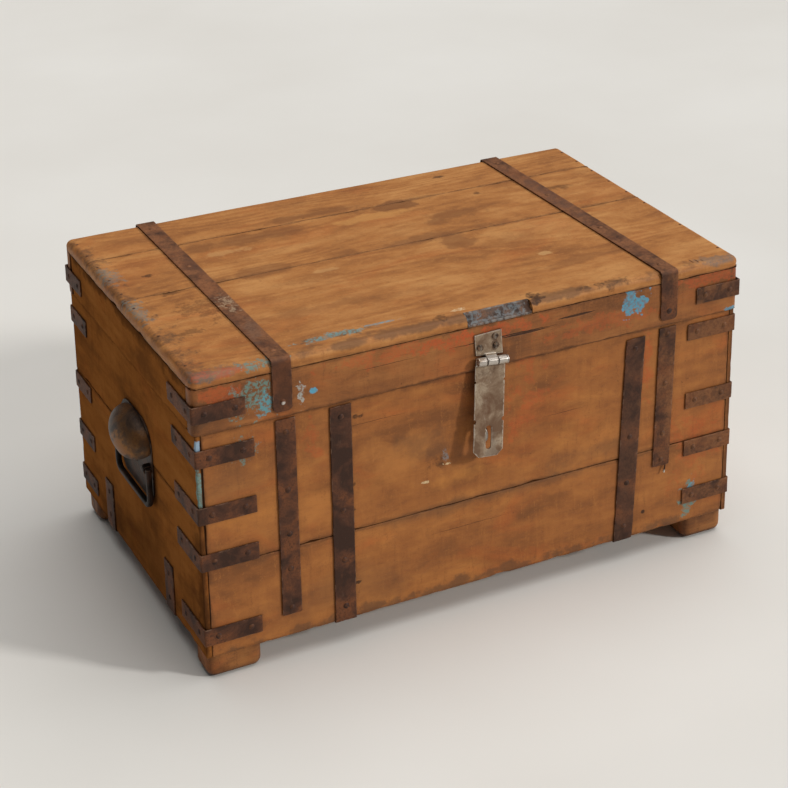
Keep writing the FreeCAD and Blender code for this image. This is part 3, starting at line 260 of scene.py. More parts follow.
def node_group(name: str, inputs: Sequence[Tuple[str, str, object]], outputs: Sequence[Tuple[str, str]]
               ) -> Tuple[Sheet, Dict[str, Socket], bpy.types.Node]:
    """Starts a shader node group.

    Args:
        name: the group's name.
        inputs: name, kind and default of each input.
        outputs: name and kind of each output.

    Returns:
        The sheet to fill in, the group's inputs by name, and its output node.
    """
    tree = bpy.data.node_groups.new(name, "ShaderNodeTree")
    for label, kind, default in inputs:
        socket = tree.interface.new_socket(label, in_out="INPUT", socket_type=SOCKET_KINDS[kind])
        socket.default_value = default
    for label, kind in outputs:
        tree.interface.new_socket(label, in_out="OUTPUT", socket_type=SOCKET_KINDS[kind])
    entry = tree.nodes.new("NodeGroupInput")
    leave = tree.nodes.new("NodeGroupOutput")
    return Sheet(tree), {socket.name: socket for socket in entry.outputs if socket.name}, leave


def wood_figure_group() -> bpy.types.NodeTree:
    """Growth rings, fibres, mottling and pores of a board whose grain runs along X."""
    sheet, given, leave = node_group(
        "wood_figure",
        (("Vector", "vector", (0, 0, 0)), ("Seed", "value", 0.0), ("Heart Depth", "value", 0.05)),
        tuple((name, "value") for name in ("Rings", "Fibre", "Mottle", "Pores", "Height")))
    seed = sheet.fill(sheet.node("CombineXYZ"), X=given["Seed"])
    place = sheet.vector("ADD", given["Vector"], seed.outputs[0])
    drift = sheet.times(sheet.layer(place, DRIFT), 0.20, -0.10)
    split = sheet.fill(sheet.node("SeparateXYZ"), Vector=place)
    across = sheet.plus(sheet.times(split.outputs["Z"], 0.9, split.outputs["Y"]), drift)
    depth = sheet.plus(sheet.times(split.outputs["X"], 0.09, given["Heart Depth"]), drift)
    heart = sheet.fill(sheet.node("CombineXYZ"), Y=across, Z=depth)
    waves = sheet.node("TexWave", wave_type="RINGS", rings_direction="X", wave_profile="SIN")
    sheet.fill(waves, Vector=heart.outputs[0], Scale=17.0, Distortion=2.2, Detail=3.0, Detail_Scale=0.8,
               Detail_Roughness=0.65)
    fine = sheet.layer(place, FINE_FIBRES)
    coarse = sheet.layer(place, COARSE_FIBRES)
    fibre = sheet.plus(sheet.times(fine, 0.5), sheet.times(coarse, 0.5))
    broad = sheet.layer(place, BROAD_MOTTLE)
    small = sheet.layer(place, SMALL_MOTTLE)
    mottle = sheet.plus(sheet.times(broad, 0.62), sheet.times(small, 0.38))
    pores = sheet.span(sheet.layer(place, PORES), 0.60, 0.70)
    height = sheet.times(waves.outputs["Fac"], 0.12, sheet.times(fibre, 0.9))
    height = sheet.times(small, 0.5, height)
    height = sheet.times(pores, -0.3, height)
    sheet.fill(leave, Rings=waves.outputs["Fac"], Fibre=fibre, Mottle=mottle, Pores=pores, Height=height)
    return sheet.tree


def patch_group() -> bpy.types.NodeTree:
    """A ragged patch: 1 inside an ellipsoid with a torn edge, 0 outside."""
    sheet, given, leave = node_group(
        "ragged_patch",
        (("Vector", "vector", (0, 0, 0)), ("Centre", "vector", (0, 0, 0)), ("Half Size", "vector", (1, 1, 1)),
         ("Tear", "value", 0.8), ("Tear Scale", "value", 60.0), ("Soft", "value", 0.15),
         ("Flake", "value", 0.0)),
        (("Mask", "value"),))
    away = sheet.vector("SUBTRACT", given["Vector"], given["Centre"])
    away = sheet.vector("DIVIDE", away, given["Half Size"])
    far = sheet.vector("LENGTH", away, output="Value")
    torn = sheet.noise(given["Vector"], given["Tear Scale"], 4.0, 0.65)
    edge = sheet.plus(far, sheet.times(sheet.minus(torn, 0.5), sheet.times(given["Tear"], 4.0)))
    mask = sheet.span(edge, sheet.minus(1.0, given["Soft"]), 1.0, 1.0, 0.0)
    lost = sheet.span(sheet.noise(given["Vector"], 240.0, 5.0, 0.7, 0.4), 0.46, 0.56)
    mask = sheet.times(mask, sheet.minus(1.0, sheet.times(lost, given["Flake"])))
    sheet.fill(leave, Mask=mask)
    return sheet.tree


def split_group() -> bpy.types.NodeTree:
    """A thin wandering crack along X: 1 on it, 0 elsewhere."""
    sheet, given, leave = node_group(
        "grain_split",
        (("Vector", "vector", (0, 0, 0)), ("Centre", "vector", (0, 0, 0)), ("Across", "vector", (0, 0, 1)),
         ("Half Length", "value", 0.05), ("Half Width", "value", 0.6 * MM), ("Wander", "value", 4 * MM)),
        (("Mask", "value"),))
    away = sheet.vector("SUBTRACT", given["Vector"], given["Centre"])
    parts = sheet.fill(sheet.node("SeparateXYZ"), Vector=away)
    line = sheet.fill(sheet.node("CombineXYZ"), X=parts.outputs["X"])
    bend = sheet.minus(sheet.noise(line.outputs[0], 22.0, 3.0, 0.6), 0.5)
    side = sheet.vector("DOT_PRODUCT", away, given["Across"], output="Value")
    side = sheet.times(bend, given["Wander"], side)
    ends = sheet.math("DIVIDE", parts.outputs["X"], given["Half Length"])
    narrow = sheet.math("SUBTRACT", 1.0, sheet.times(ends, ends), clamp=True)
    narrow = sheet.times(narrow, given["Half Width"])
    away = sheet.math("DIVIDE", sheet.math("ABSOLUTE", side), sheet.plus(narrow, 0.01 * MM))
    mask = sheet.span(away, 0.7, 1.25, 1.0, 0.0)
    sheet.fill(leave, Mask=mask)
    return sheet.tree


def rust_group() -> bpy.types.NodeTree:
    """Old iron: a fine crust, broad blooms and pits."""
    sheet, given, leave = node_group(
        "iron_rust", (("Vector", "vector", (0, 0, 0)), ("Bloom Scale", "value", 35.0)),
        (("Crust", "value"), ("Bloom", "value"), ("Pits", "value"), ("Height", "value")))
    fine = sheet.noise(given["Vector"], 420.0, 5.0, 0.7)
    bloom = sheet.noise(given["Vector"], given["Bloom Scale"], 5.0, 0.62, 0.4)
    cells = sheet.fill(sheet.node("TexVoronoi", feature="SMOOTH_F1"), Vector=given["Vector"], Scale=260.0)
    pits = sheet.span(cells.outputs["Distance"], 0.12, 0.34, 1.0, 0.0)
    pits = sheet.times(pits, sheet.span(bloom, 0.45, 0.65))
    height = sheet.plus(sheet.times(fine, 0.5), sheet.times(bloom, 0.8))
    height = sheet.minus(height, sheet.times(pits, 0.5))
    sheet.fill(leave, Crust=fine, Bloom=bloom, Pits=pits, Height=height)
    return sheet.tree


def edge_wear_group() -> bpy.types.NodeTree:
    """Wear that follows a piece's edges, broken up by noise."""
    sheet, given, leave = node_group(
        "edge_wear",
        (("Edge", "value", 0.0), ("Vector", "vector", (0, 0, 0)), ("Amount", "value", 0.5),
         ("Scale", "value", 60.0)),
        (("Mask", "value"),))
    torn = sheet.noise(given["Vector"], given["Scale"], 4.0, 0.6)
    level = sheet.plus(given["Edge"], sheet.times(torn, 2.0, -1.0))
    limit = sheet.minus(1.15, given["Amount"])
    mask = sheet.span(level, limit, sheet.plus(limit, 0.25))
    mask = sheet.times(mask, given["Edge"])
    sheet.fill(leave, Mask=mask)
    return sheet.tree


# Finishes

# How far the grime and painted shade in crevices reach
GRIME_AND_SHADE_REACH = 12 * MM
WOOD_RELIEF = 0.55
WOOD_RELIEF_DEPTH = 0.9 * MM
IRON_RELIEF_DEPTH = 0.6 * MM
IRON_GLOSS = 0.2


class Grain(Enum):
    """Which way a board's fibres run."""

    ALONG_X = 0.0
    ALONG_Y = 90.0


@dataclass(frozen=True)
class Patch:
    """A ragged patch of another colour, placed in millimetres in the trunk's frame."""

    centre: Triple
    half: Triple
    colour: Colour
    strength: float = 1.0
    tear: float = 0.5
    tear_scale: float = 90.0
    soft: float = 0.15
    flake: float = 0.0
    rough: Optional[float] = None


@dataclass(frozen=True)
class Crack:
    """A split along X, placed in millimetres in the trunk's frame; across is the direction of its width."""

    centre: Triple
    length: float
    width: float = 1.2
    wander: float = 6.0
    across: Triple = (0, 0, 1)


@dataclass(frozen=True)
class WoodFinish:
    """Old waxed softwood, darkened, stained and scratched, with grime and painted shade in its crevices."""

    name: str
    pale: Colour
    middle: Colour
    dark: Colour
    stain: Colour
    ember: Colour
    grain: Grain = Grain.ALONG_X
    seed: float = 0.0
    heart: float = 0.05
    streak: float = 0.5
    ring: float = 0.12
    warmth: float = 0.5
    stain_share: float = 0.5
    gloss: float = 0.2
    patches: Tuple[Patch, ...] = ()
    cracks: Tuple[Crack, ...] = ()

    def make(self, kit: "Kit") -> bpy.types.Material:
        """Builds the material.

        Args:
            kit: the shared node groups.

        Returns:
            The material.
        """
        material, sheet, shader = new_material(self.name)
        place = sheet.node("TexCoord").outputs["Object"]
        along = place
        if self.grain is Grain.ALONG_Y:
            turn = (0, 0, math.radians(self.grain.value))
            along = sheet.fill(sheet.node("Mapping"), Rotation=turn, Vector=place).outputs[0]
        figure = sheet.group(kit.figure, Vector=along, Seed=self.seed, Heart_Depth=self.heart)
        tone = sheet.times(figure["Fibre"], self.streak, sheet.times(figure["Mottle"], 1.9))
        tone = sheet.times(figure["Rings"], self.ring, tone)
        tone = sheet.minus(tone, 0.45 + (self.streak + self.ring) / 2)
        colour = sheet.ramp(tone, ((0.22, self.dark), (0.48, self.middle), (0.76, self.pale)))
        warm = sheet.layer(along, WARM_CLOUDS)
        colour = sheet.glaze(colour, self.ember, sheet.span(warm, 0.50, 0.74), self.warmth)
        blots = sheet.layer(along, BLOTS)
        blots = sheet.span(blots, 0.52, 0.72)
        colour = sheet.glaze(colour, self.stain, blots, self.stain_share)
        specks = sheet.span(sheet.noise(place, 150.0, 3.0, 0.7), 0.66, 0.76)
        specks = sheet.times(specks, sheet.span(sheet.noise(place, 11.0, 3.0, 0.6), 0.48, 0.66))
        colour = sheet.glaze(colour, kit.crack_and_shade_dark, specks, 0.75)
        colour = sheet.glaze(colour, self.stain, figure["Pores"], 0.22)
        brush = sheet.layer(place, BRUSH_MARKS)
        grit = sheet.noise(place, 520.0, 3.0, 0.7)
        light = sheet.times(brush, 0.55, sheet.times(grit, 0.45))
        colour = sheet.mix(sheet.span(light, 0.34, 0.48, 0.5, 0.0), colour, self.dark)
        colour = sheet.mix(sheet.span(light, 0.52, 0.66, 0.0, 0.5), colour, self.pale)
        rubs = sheet.layer(along, RUBS)
        colour = sheet.glaze(colour, self.pale, sheet.span(rubs, 0.66, 0.80), 0.45)
        edge = sheet.node("Attribute", attribute_name="edge").outputs["Fac"]
        worn = sheet.group(kit.wear, Edge=edge, Vector=place, Amount=0.80, Scale=38.0)["Mask"]
        colour = sheet.glaze(colour, kit.edge_grime, worn, 0.6)
        rub = sheet.group(kit.wear, Edge=edge, Vector=along, Amount=0.45, Scale=90.0)["Mask"]
        colour = sheet.glaze(colour, self.pale, rub, 0.4)
        height = figure["Height"]
        rough = sheet.times(figure["Mottle"], 0.3, 0.38)
        rough = sheet.times(blots, 0.12, rough)
        colour, rough = kit.lay(sheet, self.patches, place, colour, rough)
        for crack in self.cracks:
            mask = sheet.group(kit.split, Vector=place, Centre=[part * MM for part in crack.centre],
                               Across=crack.across, Half_Length=crack.length * MM / 2,
                               Half_Width=crack.width * MM / 2, Wander=crack.wander * MM)["Mask"]
            colour = sheet.glaze(colour, kit.crack_and_shade_dark, mask, 0.85)
            height = sheet.minus(height, sheet.times(mask, 1.5))
        # Grime and painted shade: darkens the colour where ambient occlusion finds crevices, joints and the
        # wood beside the straps
        near = sheet.fill(sheet.node("AmbientOcclusion", samples=4), Distance=GRIME_AND_SHADE_REACH)
        grime_and_shade = sheet.span(near.outputs["AO"], 0.35, 0.95, 0.6, 0.0)
        colour = sheet.mix(grime_and_shade, colour, kit.crack_and_shade_dark)
        bump = sheet.fill(sheet.node("Bump"), Strength=WOOD_RELIEF, Distance=WOOD_RELIEF_DEPTH, Height=height)
        sheet.fill(shader, Base_Color=colour, Roughness=rough, Normal=bump.outputs[0],
                   Specular_IOR_Level=self.gloss)
        return material


@dataclass(frozen=True)
class IronFinish:
    """Old iron, rusted to brown, with rubbed edges."""

    name: str
    base: Colour
    deep: Colour
    rust: Colour
    rubbed: Colour
    rub: float = 0.35
    bloom_scale: float = 35.0
    metallic: float = 0.35
    rough: float = 0.62
    crust: float = 0.38
    relief: float = 0.6
    patches: Tuple[Patch, ...] = ()

    def make(self, kit: "Kit") -> bpy.types.Material:
        """Builds the material.

        Args:
            kit: the shared node groups.

        Returns:
            The material.
        """
        material, sheet, shader = new_material(self.name)
        place = sheet.node("TexCoord").outputs["Object"]
        crust = sheet.group(kit.rust, Vector=place, Bloom_Scale=self.bloom_scale)
        colour = sheet.ramp(crust["Bloom"], ((0.40, self.deep), (0.50, self.base), (0.61, self.rust)))
        grains = sheet.span(crust["Crust"], 0.42, 0.72)
        colour = sheet.glaze(colour, self.deep, grains, self.crust)
        colour = sheet.glaze(colour, self.deep, crust["Pits"], self.crust)
        edge = sheet.node("Attribute", attribute_name="edge").outputs["Fac"]
        worn = sheet.group(kit.wear, Edge=edge, Vector=place, Amount=0.35 + self.rub, Scale=110.0)["Mask"]
        worn = sheet.times(worn, 0.8)
        scuff = sheet.layer(place, SCUFFS)
        worn = sheet.math("MAXIMUM", worn, sheet.times(sheet.span(scuff, 0.60, 0.74), self.rub))
        colour = sheet.mix(worn, colour, self.rubbed)
        rough = sheet.times(crust["Crust"], 0.25, self.rough - 0.12)
        rough = sheet.minus(rough, sheet.times(worn, 0.2))
        metal = sheet.times(worn, 0.3, self.metallic)
        colour, rough = kit.lay(sheet, self.patches, place, colour, rough)
        bump = sheet.fill(sheet.node("Bump"), Strength=self.relief, Distance=IRON_RELIEF_DEPTH,
                          Height=crust["Height"])
        sheet.fill(shader, Base_Color=colour, Roughness=rough, Metallic=metal, Normal=bump.outputs[0],
                   Specular_IOR_Level=IRON_GLOSS)
        return material


class Kit:
    """The node groups and the colours that several finishes share."""

    def __init__(self) -> None:
        """Builds each group once."""
        self.figure = wood_figure_group()
        self.patch = patch_group()
        self.split = split_group()
        self.rust = rust_group()
        self.wear = edge_wear_group()
        self.edge_grime = paint(74, 44, 24)
        # Dark of cracks and specks, and of the painted shade in crevices
        self.crack_and_shade_dark = paint(44, 24, 13)
        self._made: Dict[str, bpy.types.Material] = {}

    def lay(self, sheet: Sheet, patches: Iterable[Patch], place: Value, colour: Value, rough: Value
            ) -> Tuple[Value, Value]:
        """Lays patches over a finish.

        Args:
            sheet: the finish's sheet.
            patches: the patches, from the lowest up.
            place: the coordinates.
            colour: the colour below them.
            rough: the roughness below them.

        Returns:
            The colour and the roughness with the patches.
        """
        for patch in patches:
            mask = sheet.group(self.patch, Vector=place, Centre=[part * MM for part in patch.centre],
                               Half_Size=[part * MM for part in patch.half], Tear=patch.tear,
                               Tear_Scale=patch.tear_scale, Soft=patch.soft, Flake=patch.flake)["Mask"]
            mask = sheet.times(mask, patch.strength)
            colour = sheet.mix(mask, colour, patch.colour)
            if patch.rough is not None:
                rough = sheet.plus(rough, sheet.times(mask, patch.rough))
        return colour, rough

    def material(self, finish: Union[WoodFinish, IronFinish]) -> bpy.types.Material:
        """The material of a finish, built at its first use."""
        if finish.name not in self._made:
            self._made[finish.name] = finish.make(self)
        return self._made[finish.name]


# Meshes

# Angles: shaded as sharp from, counts as an edge from (radians), counts as flat below
SHARP = math.radians(32)
EDGE_ANGLE = 0.6
FLAT_ANGLE = math.radians(0.6)

# Sizes: a face too small for its edges to be rounded, and how far rubbing reaches from an edge
SMALL_FACE = 3 * MM * MM
RUB_WIDTH = 2 * MM

# Shares: how far a rounded edge's wear reaches by its radius, and by its grid's cell
SHOULDER = 2.2
CELL_SHARE = 0.35

# Wear: how close dents are on each kind of piece, and the shape of chips and hollows
WOOD_DENT_RATE = 42.0
IRON_DENT_RATE = 90.0
NAIL_DENT_RATE = 500.0
CHIP_GAIN = 1.6
CHIP_START = 0.1
CHIP_POWER = 1.5
HOLLOW_RATE = 0.35


def cut_grid(bm: Grid, cell: float, extra: Sequence[Tuple[int, float]] = ()) -> None:
    """Cuts a mesh along planes across each axis, so that wear has vertices to move.

    Args:
        bm: the mesh.
        cell: the distance between the planes.
        extra: more planes, as axis and coordinate.
    """
    low = [min(v.co[axis] for v in bm.verts) for axis in range(3)]
    high = [max(v.co[axis] for v in bm.verts) for axis in range(3)]
    planes = list(extra)
    for axis in range(3):
        count = int((high[axis] - low[axis]) / cell)
        step = (high[axis] - low[axis]) / (count + 1)
        planes += [(axis, low[axis] + step * (number + 1)) for number in range(count)]
    for axis, place in planes:
        spot = Vector((0, 0, 0))
        spot[axis] = place
        normal = Vector((0, 0, 0))
        normal[axis] = 1
        bmesh.ops.bisect_plane(bm, geom=bm.verts[:] + bm.edges[:] + bm.faces[:], dist=WELD, plane_co=spot,
                               plane_no=normal)


def round_edges(bm: Grid, edges: List[bmesh.types.BMEdge], width: float, segments: int) -> None:
    """Rounds some edges of a mesh."""
    bmesh.ops.bevel(bm, geom=edges, offset=width, offset_type="OFFSET", segments=segments, profile=0.5,
                    affect="EDGES", material=-1, clamp_overlap=False)


def sharp_edges(bm: Grid, least_face: float = 0.0) -> List[bmesh.types.BMEdge]:
    """The edges where faces meet at an angle, without those beside a face smaller than least_face."""
    return [edge for edge in bm.edges if edge.is_manifold and edge.calc_face_angle() > EDGE_ANGLE
            and min(face.calc_area() for face in edge.link_faces) > least_face]


def soften(bm: Grid, low: Vector, high: Vector, radius: float, sides: Iterable[Side]) -> None:
    """Rounds the edges where two soft sides of a board meet.

    Args:
        bm: the board, with a grid of vertices.
        low: the board's lowest corner.
        high: its highest corner.
        radius: how far the edges are rounded.
        sides: the soft sides, as axis and direction.
    """
    for vert in bm.verts:
        over = Vector((0, 0, 0))
        for axis, way in sides:
            side = high[axis] if way > 0 else low[axis]
            over[axis] += way * max(0.0, way * (vert.co[axis] - side) + radius)
        if over.length > radius:
            vert.co += over * (radius / over.length - 1)


def wear_down(bm: Grid, dents: float, ripple: float, scale: float, seed: float) -> None:
    """Moves vertices inwards: deep and rare along the edges, shallow on the faces.

    Args:
        bm: the mesh, with a float layer "edge" that is 1 on its edges.
        dents: the deepest dent of an edge.
        ripple: the deepest hollow of a face.
        scale: how close the dents are.
        seed: moves the noise.
    """
    edge = bm.verts.layers.float["edge"]
    bm.normal_update()
    moves = []
    for vert in bm.verts:
        spot = vert.co * scale + Vector((seed, seed * 0.7, -seed))
        chip = max(0.0, noise.noise(spot) * CHIP_GAIN - CHIP_START) ** CHIP_POWER
        soft = 0.5 + 0.5 * noise.noise(spot * HOLLOW_RATE)
        moves.append(vert.normal * -(dents * chip * vert[edge] + ripple * soft))
    for vert, move in zip(bm.verts, moves):
        vert.co += move


@dataclass
class Piece:
    """One finished piece: its mesh, what it stands for, its material and its body."""

    name: str
    nodes: Tuple[str, ...]
    finish: Union[WoodFinish, IronFinish]
    bm: Grid

    def place(self, kit: Kit) -> bpy.types.Object:
        """Makes the object, hides the nodes that it replaces and ties it to their body.

        Args:
            kit: the shared groups and materials.

        Returns:
            The object.
        """
        mesh = bpy.data.meshes.new(self.name)
        self.bm.to_mesh(mesh)
        self.bm.free()
        mesh.polygons.foreach_set("use_smooth", [True] * len(mesh.polygons))
        mesh.set_sharp_from_angle(angle=SHARP)
        mesh.materials.append(kit.material(self.finish))
        made = bpy.data.objects.new(self.name, mesh)
        bpy.context.scene.collection.objects.link(made)
        node = frame["nodes"][self.nodes[0]]
        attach(made, node["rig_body"])
        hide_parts(*self.nodes)
        log.info("%s: %d faces, stands for %s", self.name, len(mesh.polygons), ", ".join(self.nodes))
        return made


def worn(node: str, finish: Union[WoodFinish, IronFinish], bm: Grid) -> Piece:
    """The piece that stands for one node."""
    return Piece(f"{node}_worn", (node,), finish, bm)


def board(node: str, cell: float, rounding: float, dents: float, ripple: float, seed: float,
          extra: Sequence[Tuple[int, float]] = (), shape: Optional[Callable[[Grid], None]] = None) -> Grid:
    """A worn board in a node's box.

    Args:
        node: the CAD node whose box it fills.
        cell: the distance between its vertices.
        rounding: how far its edges are rounded.
        dents: how deep its edges are dented.
        ripple: how uneven its faces are.
        seed: moves its noise.
        extra: more cutting planes, as axis and coordinate.
        shape: moves vertices once the grid is cut.

    Returns:
        The mesh.
    """
    low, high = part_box(node)
    bm = bmesh.new()
    bmesh.ops.create_cube(bm, size=1.0)
    bmesh.ops.scale(bm, vec=high - low, verts=bm.verts)
    bmesh.ops.translate(bm, vec=(low + high) / 2, verts=bm.verts)
    round_edges(bm, bm.edges[:], rounding, 3)
    shoulder = SHOULDER * rounding
    near = [(axis, side) for axis in range(3) for side in (low[axis] + shoulder, high[axis] - shoulder)]
    cut_grid(bm, cell, list(extra) + near)
    if shape:
        shape(bm)
    edge = bm.verts.layers.float.new("edge")
    for vert in bm.verts:
        gaps = sorted(min(vert.co[axis] - low[axis], high[axis] - vert.co[axis]) for axis in range(3))
        vert[edge] = max(0.0, 1 - gaps[1] / (shoulder + cell * CELL_SHARE))
    wear_down(bm, dents, ripple, WOOD_DENT_RATE, seed)
    return bm


def iron(node: str, cell: float, rounding: float, dents: float, ripple: float, seed: float) -> Grid:
    """A hammered copy of an iron node.

    Args:
        node: the CAD node.
        cell: the distance between its vertices.
        rounding: how far its edges are rounded, or 0.
        dents: how deep its edges are dented.
        ripple: how uneven its faces are.
        seed: moves its noise.

    Returns:
        The mesh.
    """
    bm = bmesh.new()
    bm.from_mesh(frame["nodes"][node].data)
    bmesh.ops.remove_doubles(bm, verts=bm.verts, dist=WELD)
    bmesh.ops.dissolve_limit(bm, angle_limit=FLAT_ANGLE, verts=bm.verts, edges=bm.edges)
    lines = [(line.verts[0].co.copy(), line.verts[1].co.copy()) for line in sharp_edges(bm, SMALL_FACE)]
    if rounding:
        round_edges(bm, sharp_edges(bm, SMALL_FACE), rounding, 2)
    low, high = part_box(node)
    for vert in bm.verts:
        vert.co = [min(max(value, least), most) for value, least, most in zip(vert.co, low, high)]
    near = [(axis, side) for axis in range(3) if high[axis] - low[axis] > 8 * RUB_WIDTH
            for side in (low[axis] + RUB_WIDTH, high[axis] - RUB_WIDTH)]
    cut_grid(bm, cell, near)
    mark_edges(bm, lines)
    wear_down(bm, dents, ripple, IRON_DENT_RATE, seed)
    return bm


def mark_edges(bm: Grid, lines: Sequence[Tuple[Vector, Vector]]) -> None:
    """Writes how near each vertex is to the sharp edges, from 1 on them to 0 at RUB_WIDTH.

    Args:
        bm: the mesh.
        lines: the ends of each sharp edge.
    """
    spots = []
    for start, end in lines:
        steps = max(1, math.ceil((end - start).length / RUB_WIDTH))
        spots += [start.lerp(end, number / steps) for number in range(steps + 1)]
    tree = kdtree.KDTree(len(spots))
    for number, spot in enumerate(spots):
        tree.insert(spot, number)
    tree.balance()
    edge = bm.verts.layers.float.new("edge")
    for vert in bm.verts:
        gap = tree.find(vert.co)[2] if spots else None
        vert[edge] = 0.0 if gap is None else max(0.0, 1 - gap / RUB_WIDTH)


# Sub-assemblies


@dataclass
class Carcass:
    """The body of the trunk: walls, bottom and feet."""

    cell: float = 9 * MM
    joint: float = 0.08 * MM
    foot_soft: float = 12 * MM
    rounding: float = 1.6 * MM
    dents: float = 2.2 * MM
    ripple: float = 0.5 * MM
    seed: float = 1.0
    seed_step: float = 7.3

    def build(self, looks: "Looks") -> List[Piece]:
        """Builds the boards and feet.

        Args:
            looks: the finishes.

        Returns:
            The pieces.
        """
        pieces = []
        seed = self.seed
        for node in ("front_upper_board", "front_lower_board", "back_upper_board", "back_lower_board"):
            seed += self.seed_step
            pieces.append(worn(node, looks.front, self.plank(node, seed)))
        for node in ("left_upper_board", "left_lower_board", "right_upper_board", "right_lower_board"):
            seed += self.seed_step
            # The left end boards take the finish with painted shade
            finish = looks.end if node.startswith("left") else looks.right_end
            pieces.append(worn(node, finish, self.end_plank(node, seed)))
        for node in ("bottom_front_board", "bottom_middle_board", "bottom_back_board"):
            seed += self.seed_step
            low = board(node, 4 * self.cell, self.rounding, self.dents, self.ripple, seed)
            pieces.append(worn(node, looks.inside, low))
        for node in ("front_left_foot", "front_right_foot", "back_left_foot", "back_right_foot"):
            seed += self.seed_step
            bm = iron(node, cell=4 * MM, rounding=1.2 * MM, dents=1.0 * MM, ripple=0.5 * MM, seed=seed)
            soften(bm, *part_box(node), self.foot_soft, ((2, -1), (0, -1), (0, 1), (1, -1), (1, 1)))
            pieces.append(worn(node, looks.foot, bm))
        return pieces

    def plank(self, node: str, seed: float) -> Grid:
        """One board of the front or back."""
        return board(node, self.cell, self.rounding, self.dents, self.ripple, seed)

    def end_plank(self, node: str, seed: float) -> Grid:
        """One board of an end, with the rebates that the front and back boards lie in."""
        low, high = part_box(node)
        front_low, front_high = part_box("front_upper_board")
        back_low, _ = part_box("back_upper_board")
        out = -1 if low.x < 0 else 1
        seat = (front_low.x if out < 0 else front_high.x) + out * self.joint
        front, back = front_high.y + self.joint, back_low.y - self.joint

        def cut(bm: Grid) -> None:
            """Moves the inner side of both rims out onto the rebates' seats."""
            for vert in bm.verts:
                if not front - self.joint < vert.co.y < back + self.joint and vert.co.x * out < seat * out:
                    vert.co.x = seat
            bmesh.ops.remove_doubles(bm, verts=bm.verts, dist=0.1 * self.joint)

        planes = [(0, seat), (1, front), (1, back), (1, front - 2 * self.joint), (1, back + 2 * self.joint)]
        return board(node, self.cell, self.rounding, self.dents, self.ripple, seed, planes, cut)


@dataclass
class Lid:
    """The lid's planks, rails and the iron plate let into its front edge."""

    cell: float = 8 * MM
    rounding: float = 0.9 * MM
    soft: float = 9 * MM
    dents: float = 2.0 * MM
    ripple: float = 0.7 * MM
    seat_clearance: float = 0.15 * MM
    top_sides: Tuple[Side, ...] = ((2, 1), (0, -1), (0, 1))
    seed: float = 101.0
    seed_step: float = 5.9
    edge_steps: Tuple[float, ...] = (0.12, 0.35, 0.65, 1.0)
    front_edge_steps: Tuple[float, ...] = (0.12, 0.35, 1.0)
    seat_steps: Tuple[float, ...] = (0.33, 0.66, 1.0)
    seat_drops: Tuple[float, ...] = (0.33, 0.66, 0.98)

    def build(self, looks: "Looks") -> List[Piece]:
        """Builds the planks, rails and plate.

        Args:
            looks: the finishes.

        Returns:
            The pieces.
        """
        pieces = []
        seed = self.seed
        for node, sides in (("lid_middle_plank", ()), ("lid_back_plank", ((1, 1),))):
            seed += self.seed_step
            pieces.append(worn(node, looks.top, self.plank(node, seed, sides + self.top_sides)))
        pieces.append(worn("lid_front_plank", looks.top, self.front_plank(seed + 3)))
        for node, side in (("lid_front_rail", (1, -1)), ("lid_back_rail", (1, 1))):
            seed += self.seed_step
            pieces.append(worn(node, looks.rail, self.plank(node, seed, (side, (0, -1), (0, 1)))))
        for node, side, finish in (("lid_left_rail", (0, -1), looks.end),
                                   ("lid_right_rail", (0, 1), looks.right_end)):
            seed += self.seed_step
            pieces.append(worn(node, finish, self.plank(node, seed, (side, (1, -1), (1, 1)))))
        plate = iron("old_lock_inlay", cell=2.5 * MM, rounding=0.5 * MM, dents=0.8 * MM, ripple=0.25 * MM,
                     seed=seed)
        pieces.append(worn("old_lock_inlay", looks.inlay, plate))
        return pieces

    def plank(self, node: str, seed: float, sides: Sequence[Side]) -> Grid:
        """One plank or rail, with the edges between its soft sides rounded."""
        low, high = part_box(node)
        steps = [(axis, (high[axis] if way > 0 else low[axis]) - way * self.soft * share)
                 for axis, way in sides for share in self.edge_steps]
        return board(node, self.cell, self.rounding, self.dents, self.ripple, seed, steps,
                     lambda bm: soften(bm, low, high, self.soft, sides))

    def front_plank(self, seed: float) -> Grid:
        """The front plank, with the sloping seat of the iron plate pressed into its front edge."""
        low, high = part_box("old_lock_inlay")
        top = high.z
        front = low.y
        leg = high.y - front
        normal = Vector((0, -1, 1)).normalized()
        foot = Vector((0, front + leg, top))
        sides = ((1, -1),) + self.top_sides
        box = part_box("lid_front_plank")

        def press(bm: Grid) -> None:
            """Rounds the outer edges and moves what stands over the seat down onto it."""
            soften(bm, *box, self.soft, sides)
            for vert in bm.verts:
                if low.x - self.seat_clearance <= vert.co.x <= high.x + self.seat_clearance:
                    over = (vert.co - foot).dot(normal) + self.seat_clearance
                    if over > 0:
                        vert.co -= normal * over

        edges = []
        for side, out in ((low.x, -1), (high.x, 1)):
            edges += [(0, side + out * self.seat_clearance), (0, side + out * 3 * self.seat_clearance)]
        steps = [(1, front + leg * share) for share in self.seat_steps]
        steps += [(2, top - leg * share) for share in self.seat_drops]
        steps += [(axis, box[(way + 1) // 2][axis] - way * self.soft * share)
                  for axis, way in sides for share in self.front_edge_steps]
        return board("lid_front_plank", self.cell, self.rounding, self.dents, self.ripple, seed,
                     edges + steps, press)


